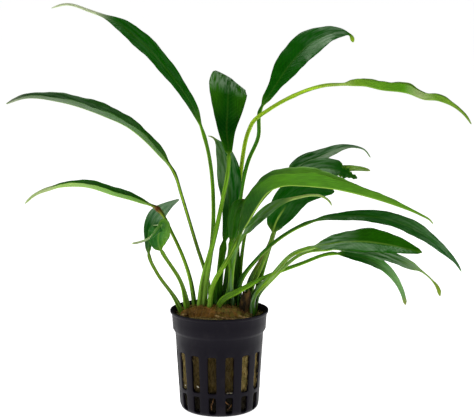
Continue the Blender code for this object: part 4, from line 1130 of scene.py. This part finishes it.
def pot_mesh():
    """Rows follow the profile; columns follow the openings' edges, so angle depends on the row."""
    rows = len(profile)
    radius, height = profile.T
    on_floor = np.arange(rows) >= rows - len(floor_radii)
    half = np.where(height > (SLOT_LOW + HOLE_HIGH) / 2,
                    opening_half(height, SLOT_LOW, SLOT_HIGH, SLOT_HALF),
                    opening_half(height, HOLE_LOW, HOLE_HIGH, HOLE_HALF))
    half = np.where(height > SLOT_HIGH, SLOT_HALF - CORNER, half)
    half = np.where(on_floor, DRAIN_HALF * np.clip(radius / DRAIN_IN, 0.2, 1), half)
    edge = np.arcsin(half / radius)[:, None]
    pitch = 2 * math.pi / SLOT_COUNT
    one = np.concatenate([ACROSS_OPENING * edge, edge + (pitch - 2 * edge) * ACROSS_BAR], axis=1)
    # The slots stand turned a little from the drains, so the foot's rows turn between the two.
    turn = math.radians(SLOT_TURN) * smooth_step(radius, *TURN_BETWEEN)
    angle = one[:, None, :] + (pitch * np.arange(SLOT_COUNT))[:, None] + turn[:, None, None]
    angle = angle.reshape(rows, -1)
    columns = angle.shape[1]
    points = np.stack([radius[:, None] * np.sin(angle), -radius[:, None] * np.cos(angle),
                       height[:, None] + 0 * angle], axis=-1)

    low, high = np.minimum(height[:-1], height[1:]), np.maximum(height[:-1], height[1:])
    in_slot = (low >= SLOT_LOW - NEAR) & (high <= SLOT_HIGH + NEAR)
    in_hole = (low >= HOLE_LOW - NEAR_FOOT) & (high <= HOLE_HIGH + NEAR) & ~on_floor[1:]
    drain = (radius[:-1] <= DRAIN_OUT + NEAR) & (radius[1:] >= DRAIN_IN - NEAR) & on_floor[1:]
    quads = ring_faces(rows, columns)[:, ::-1].reshape(rows - 1, SLOT_COUNT, -1, 4)
    keep = np.ones(quads.shape[:3], bool)
    keep[:, :, :4] &= ~(in_slot | in_hole)[:, None, None]
    keep[:, ::DRAIN_EVERY, :4] &= ~drain[:, None, None]
    side = np.arange(columns)
    middle = np.stack([(side + 1) % columns, side, np.full(columns, columns)], axis=1)
    middle = middle + (rows - 1) * columns
    return new_mesh("net_pot", np.concatenate([points.reshape(-1, 3), [[0, 0, 0]]]),
                    quads[keep].tolist() + middle.tolist())


print("squares in one row:", SLOT_COUNT * (len(ACROSS_OPENING) + len(ACROSS_BAR)))

# %% [markdown]
# ## The pot's plastic
#
# The plastic is moulded black polypropylene with a satin skin and a faint blue cast. Its shine is
# low, and it has the fine grain of the mould and a little dried-on dust.

# %% Pot finish
def pot_finish():
    """Black with a fine grain, faint streaks down the wall, and duller where dust has dried."""
    material, tree, shader, place = new_finish("satin_black_plastic")
    grain = noise(tree, place, 2200.0, 2.0)
    draw = noise(tree, place, 420.0, 3.0, (1.0, 1.0, 0.12))
    dust = fade(tree, noise(tree, place, 150.0, 6.0), 0.52, 0.8)
    black = blend(tree, times(tree, dust, 0.10), paint(15, 11, 22), paint(90, 84, 84))
    worn = weigh(tree, [(draw, 0.18), (dust, 0.2)], 0.36)
    dress(tree, shader, black, worn, 0.10, weigh(tree, [(grain, 0.5), (draw, 1.0)]), 0.05)
    return material


FINISHES["pot"] = pot_finish()
net_pot = add_piece("net_pot", pot_mesh(), FINISHES["pot"], "pot", "pot")
wall = net_pot.modifiers.new("wall", "SOLIDIFY")
wall.thickness = WALL * MM
wall.offset = -1.0
wall.use_even_offset = True
soft = net_pot.modifiers.new("moulded_edges", "BEVEL")
soft.width = 0.16 * MM
soft.segments = 2
soft.limit_method = "ANGLE"
soft.angle_limit = math.radians(50)
print("pot openings:", SLOT_COUNT * 2 + SLOT_COUNT // DRAIN_EVERY)

# %% [markdown]
# ## Rock wool
#
# Rock wool is spun mineral fibre, pressed into a plug. From outside it is a tan, matted surface,
# olive where it stays damp, darker towards the pot's front wall and nearly black at its foot. That
# darkening depends on the place in the pot, not on the piece, so one recipe serves the plug and its
# loose strands.

# %% Rock-wool finish
FRONT_DARKENING, FRONT_DARK_TONE = (-17 * MM, -13.5 * MM), paint(46, 32, 4)
FOOT_DARKENING, FOOT_DARK_TONE = (11 * MM, 16 * MM), paint(20, 16, 6)
DARKENING_TOP = (40 * MM, 46 * MM)
DARKENING_WANDER = 8 * MM


def wool_finish(name, light, dark, damp):
    """Tan strands, damp green patches, and darker wool low down and towards the front."""
    material, tree, shader, place = new_finish(name)
    x, y, z = add_node(tree, "ShaderNodeSeparateXYZ", {0: place}).outputs
    clumps = noise(tree, place, 240.0, 5.0)
    strand = noise(tree, place, 1300.0, 3.0, (1.0, 1.0, 0.35))
    wool = blend(tree, fade(tree, strand, 0.35, 0.68), dark, light)
    wool = blend(tree, times(tree, fade(tree, clumps, 0.42, 0.68), 0.7), wool, damp)
    wander = (clumps, DARKENING_WANDER)
    facing = weigh(tree, [(y, 1.0), (x, 0.25), wander], -DARKENING_WANDER / 2)
    rising = weigh(tree, [(z, 1.0), wander], -DARKENING_WANDER / 2)
    # Darker towards the front below the plug's top, and nearly black near the foot.
    front = times(tree, fade(tree, facing, *FRONT_DARKENING, 0.84, 0.0),
                  fade(tree, z, *DARKENING_TOP, 1.0, 0.0))
    wool = blend(tree, front, wool, FRONT_DARK_TONE)
    wool = blend(tree, fade(tree, rising, *FOOT_DARKENING, 0.97, 0.0), wool, FOOT_DARK_TONE)
    dress(tree, shader, wool, 0.92, 0.1, weigh(tree, [(clumps, 1.0), (strand, 0.7)]), 0.6)
    shader.inputs["Sheen Weight"].default_value = 0.06
    return material


WOOL_TONES = {
    "wool_plug": (paint(186, 162, 96), paint(112, 90, 44), paint(84, 78, 30)),
    "wool_strands": (paint(216, 194, 128), paint(156, 132, 74), paint(110, 102, 44)),
    "rhizome_fibres": (paint(196, 152, 84), paint(116, 78, 34), paint(110, 102, 34)),
}
for name, tones in WOOL_TONES.items():
    FINISHES[name] = wool_finish(name, *tones)
print("wool finishes:", len(WOOL_TONES))

# %% [markdown]
# ## The wool plug
#
# The plug fills the pot to just below its rim. A turned profile gives its body, and products of a
# few sine waves press shallow lumps into it, always inwards, so that it never pokes through the
# pot's wall.

# %% Wool plug
PLUG_TOP, PLUG_EDGE = 48.7, 48.2
SIDE_LUMPS, TOP_LUMPS = 0.22, 0.35
PLUG_PROFILE = [(0.3, 1.6), (17.0, 1.6), (18.7, 4.2), (21.0, 40.0), (22.1, 42.7), (22.4, 47.7),
                (21.0, 48.6), (12.0, PLUG_TOP), (0.3, PLUG_TOP)]
t = np.linspace(0, 1, 70)
line = distance_along(PLUG_PROFILE)
radius, height = [np.interp(t * line[-1], line, column)[:, None]
                  for column in np.array(PLUG_PROFILE).T]
angle = full_turn(120)
lumps = np.sin(7 * angle + 3 * height) * np.sin(5 * angle - 1.7 * height + 1)
lumps = lumps + 0.6 * np.sin(17 * angle + 0.9 * radius) * np.sin(2.1 * height + 11 * angle)
inward = np.minimum(SIDE_LUMPS * (lumps - 1.6) * smooth_step(radius, 2.0, 8.0), 0)
upward = TOP_LUMPS * lumps * (height > PLUG_EDGE) * smooth_step(radius, 1.0, 6.0)
rings = np.stack([(radius + inward) * np.cos(angle), (radius + inward) * np.sin(angle),
                  height + upward], axis=-1)
mesh = closed_skin("wool_plug", rings[:, ::-1], t)
add_piece("wool_plug", mesh, FINISHES["wool_plug"], "growing_medium", "growing_medium")
print("plug top at", PLUG_TOP, "mm")

# %% [markdown]
# ## Wool strands
#
# Loose strands give the wool its fuzzy outline. Each is a bent hair, three-sided and only six
# sections long, because thousands are needed. Blender's own hair could be grown here too, but it
# is no mesh, and a part for a library must be one.

# %% Bent hairs
STRAND_SECTIONS = 6
STRAND_CORNERS = [0, 120, 240]


def strand_mesh(name, start, way, sway, length, bend, thickness):
    """Bent hairs: start + way * length * t + sway * bend * sin(pi t).

    Each is a three-sided tube that thins towards its ends, with one start, way, sway, length,
    bend and thickness of its own.
    """
    sections, sides = STRAND_SECTIONS, len(STRAND_CORNERS)
    t = np.linspace(0, 1, sections)
    line = start[:, None] + way[:, None] * (length[:, None] * t)[..., None]
    line = line + sway[:, None] * (bend[:, None] * np.sin(math.pi * t))[..., None]
    third = np.cross(way, sway)
    angle = np.radians(STRAND_CORNERS)[:, None]
    size = thickness[:, None] * (0.35 + 0.65 * np.sin(math.pi * np.clip(t, 0.06, 0.94)))
    around = np.cos(angle) * sway[:, None] + np.sin(angle) * third[:, None]
    points = line[:, :, None] + size[:, :, None, None] * around[:, None]
    first = (np.arange(len(start)) * sections * sides)[:, None]
    quads = (ring_faces(sections, sides) + first[:, :, None]).reshape(-1, 4)
    caps = np.concatenate([first + [2, 1, 0], first + (sections - 1) * sides + [0, 1, 2]])
    return new_mesh(name, points.reshape(-1, 3), quads.tolist() + caps.tolist())


def square_to(way, rng):
    """A random direction square to each way."""
    other = unit(rng.normal(size=way.shape))
    return unit(other - way * np.sum(other * way, axis=1, keepdims=True))


def around_pot(angle):
    """Outward and sideways directions; the angle counts from the front towards +X."""
    return (np.stack([np.sin(angle), -np.cos(angle), 0 * angle], axis=1),
            np.stack([np.cos(angle), np.sin(angle), 0 * angle], axis=1))


print("points on one strand:", STRAND_SECTIONS * len(STRAND_CORNERS))

# %% [markdown]
# The first lot lies in all directions on the plug's top. None may be so long that it reaches the
# pot's rim.

# %% Strands on the plug's top
rng = np.random.default_rng(5)
many = 1500
STRAND_CIRCLE, INSIDE_RIM = 21.2, 23.0
angle = rng.uniform(0, 2 * math.pi, many)
radius = STRAND_CIRCLE * np.sqrt(rng.uniform(0, 1, many))
start = np.stack([radius * np.cos(angle), radius * np.sin(angle),
                  PLUG_TOP + rng.uniform(-0.4, 0.5, many)], axis=1)
way = unit(np.stack([rng.normal(size=many), rng.normal(size=many),
                     0.12 * rng.normal(size=many)], axis=1))
length = np.minimum(rng.uniform(2.0, 6.0, many), INSIDE_RIM - radius)
mesh = strand_mesh("top_strands", start, way, square_to(way, rng), length,
                   bend=rng.uniform(0.1, 0.8, many), thickness=rng.uniform(0.05, 0.13, many))
add_piece("top_strands", mesh, FINISHES["wool_strands"], "growing_medium")
print("strands on the plug's top:", many)

# %% [markdown]
# Behind the slots the strands stand nearly upright, where the pot has pressed them flat. They
# start between the plug's surface and the pot's wall, and only where an opening shows them.

# %% Strands behind the slots
many = 2400
STRAND_DEPTH, STRAND_LEAN, HALF_OPENING = 1.2, 0.35, 0.085
which = rng.integers(0, SLOT_COUNT, many)
height = rng.uniform(2.5, 30.7, many)
depth = np.interp(height, [4.2, 40.0], [18.6, 20.9])
depth = depth + STRAND_DEPTH * rng.uniform(0, 1, many) ** 1.5
slot_angle = math.radians(SLOT_TURN) + 2 * math.pi * which / SLOT_COUNT
outward, aside = around_pot(slot_angle + rng.uniform(-HALF_OPENING, HALF_OPENING, many))
way = unit(UP + aside * rng.normal(size=(many, 1)) * STRAND_LEAN)
mesh = strand_mesh("slot_strands", outward * depth[:, None] + UP * height[:, None], way,
                   unit(np.cross(way, outward)), length=rng.uniform(1.5, 5.0, many),
                   bend=rng.uniform(-0.5, 0.5, many), thickness=rng.uniform(0.05, 0.12, many))
add_piece("slot_strands", mesh, FINISHES["wool_strands"], "growing_medium")
print("strands behind the slots:", many)

# %% [markdown]
# ## Root ends in the openings
#
# Roots that have grown through the wool show as short ends in the pot's openings: brown ones in
# the holes and thin pale young ones in the slots. They are the same bent hairs, only thicker.

# %% Root ends
# Which opening, counted from the front one towards +X, and the height of the root's middle in mm;
# then how upright they stand, their length, and their finish's tones, roughness and depth.
ROOT_ENDS = {
    "brown_root": ([(0, 6.0), (0, 8.5), (1, 5.5), (1, 8.0), (1, 12.5), (-4, 7.0), (5, 6.5)],
                   1.0, 3.6, (paint(120, 84, 44), paint(64, 40, 20), 0.7, 0.15)),
    "pale_root": ([(1, 12.9), (1, 13.2), (-1, 15.6), (-2, 14.8), (6, 14.0), (-6, 13.6)],
                  0.2, 1.6, (paint(226, 222, 206), paint(170, 160, 130), 0.5, 0.1)),
}
ROOT_END_RADIUS, BEHIND_WALL = 0.42, 0.9
for name, (places, upright, size, tones) in ROOT_ENDS.items():
    FINISHES[name] = plain_bark(name, *tones)
    which, height = np.array(places).T
    many = len(places)
    slot_angle = math.radians(SLOT_TURN) + 2 * math.pi * which / SLOT_COUNT
    outward, aside = around_pot(slot_angle + rng.uniform(-0.05, 0.05, many))
    way = unit(aside * rng.uniform(-1.0, 1.0, (many, 1)) + UP * upright)
    start = (outward * (wall_radius(height) - BEHIND_WALL)[:, None] + UP * height[:, None]
             - way * size / 2)
    mesh = strand_mesh(name + "_ends", start, way, unit(np.cross(way, outward)),
                       length=np.full(many, size), bend=rng.uniform(-0.5, 0.5, many),
                       thickness=np.full(many, ROOT_END_RADIUS))
    add_piece(name + "_ends", mesh, FINISHES[name], "root")
print("root ends:", sum(len(places) for places, *_ in ROOT_ENDS.values()))

# %% [markdown]
# ## Fibres over the front rhizome
#
# Wool sticks to the rhizome too and blurs its outline. These fibres start on its bark at places
# along its route and lie along it or around it.

# %% Fibres over the front rhizome
many = 420
middle = curve_through(FRONT_ROUTE, rng.uniform(0.03, 0.95, many))
turned = np.radians(rng.uniform(-80, 60, many))
out = np.stack([0 * turned, np.sin(turned), np.cos(turned)], axis=1)
round_it = np.stack([0 * turned, np.cos(turned), -np.sin(turned)], axis=1)
way = round_it * rng.normal(size=(many, 1))
way = unit(way + np.array([1.0, 0, 0]) * rng.normal(size=(many, 1)))
length = rng.uniform(1.5, 4.5, many)
start = middle + out * (FRONT_RADIUS + 0.12 * length[:, None]) - way * length[:, None] / 2
mesh = strand_mesh("rhizome_fibres", start, way, unit(np.cross(np.cross(way, out), way)), length,
                   bend=rng.uniform(0.1, 0.5, many), thickness=rng.uniform(0.05, 0.11, many))
add_piece("rhizome_fibres", mesh, FINISHES["rhizome_fibres"], "rhizome")
print("fibres over the rhizome:", many)

# %% [markdown]
# ## The floor
#
# A product photograph stands on white paper that is lit until it vanishes. So the floor is a wide
# disc that glows faintly of itself, a little less towards the camera.

# %% Floor
FLOOR_RADII = np.array([0.02, 0.3, 1.0, 4.0, 14.0])[:, None]


def floor_finish():
    """White paper whose own glow rises towards the back."""
    material, tree, shader, place = new_finish("pale_floor")
    nearness = add_node(tree, "ShaderNodeSeparateXYZ", {0: place}).outputs[1]
    feed(tree, shader, {
        "Base Color": blend(tree, noise(tree, place, 3.0), (0.86, 0.86, 0.86), (0.88, 0.88, 0.88)),
        "Roughness": 0.9, "Specular IOR Level": 0.1, "Emission Color": (1.0, 1.0, 1.0, 1.0),
        "Emission Strength": fade(tree, nearness, -0.6, 0.0, 0.45, 1.0)})
    return material


angle = full_turn(96)
points = np.stack([FLOOR_RADII * np.cos(-angle), FLOOR_RADII * np.sin(-angle),
                   0 * FLOOR_RADII * angle], axis=-1)
faces = ring_faces(len(FLOOR_RADII), len(angle))[:, ::-1].tolist()
faces.append(list(range(len(angle)))[::-1])
floor_mesh = bpy.data.meshes.new("floor")
floor_mesh.from_pydata(points.reshape(-1, 3).tolist(), [], faces)
floor_mesh.materials.append(floor_finish())
floor = bpy.data.objects.new("floor", floor_mesh)
bpy.context.scene.collection.objects.link(floor)
print("floor normal z:", round(floor_mesh.polygons[0].normal.z, 2))

# %% [markdown]
# ## Light
#
# The plant is lit softly from both sides and from above, so that the leaves keep their deep colour
# and only their edges and tops shine. The world around is dim above and brighter behind.

# %% Lights
def soft_box(name, place, target, size, watts):
    """A rectangular area light that looks at its target."""
    data = bpy.data.lights.new(name, "AREA")
    data.shape = "RECTANGLE"
    data.size, data.size_y = size
    data.energy = watts
    light = bpy.data.objects.new(name, data)
    light.location = place
    x, y, z = np.array(place) - np.array(target)
    light.rotation_euler = (math.atan2(math.hypot(x, y), z), 0.0, math.atan2(x, -y))
    bpy.context.scene.collection.objects.link(light)


TARGET = (0.0, 0.0, 0.09)
soft_box("left_box", (-0.85, -0.45, 0.5), TARGET, (0.5, 0.8), 4.0)
soft_box("right_box", (0.85, -0.45, 0.5), TARGET, (0.5, 0.8), 3.4)
soft_box("top_box", (-0.1, 0.4, 0.95), TARGET, (0.5, 0.25), 3.2)
world = bpy.data.worlds.new("studio")
world.use_nodes = True
tree = world.node_tree
sky = add_node(tree, "ShaderNodeTexCoord").outputs["Generated"]
_, away, above = add_node(tree, "ShaderNodeSeparateXYZ", {0: sky}).outputs
level = fade(tree, above, 0.05, 0.35, 0.9, 0.1)
behind = fade(tree, away, -0.3, 0.5, 0.15, 1.0)
feed(tree, tree.nodes["Background"], {"Strength": times(tree, level, behind)})
bpy.context.scene.world = world
bpy.context.scene.view_settings.view_transform = "Standard"
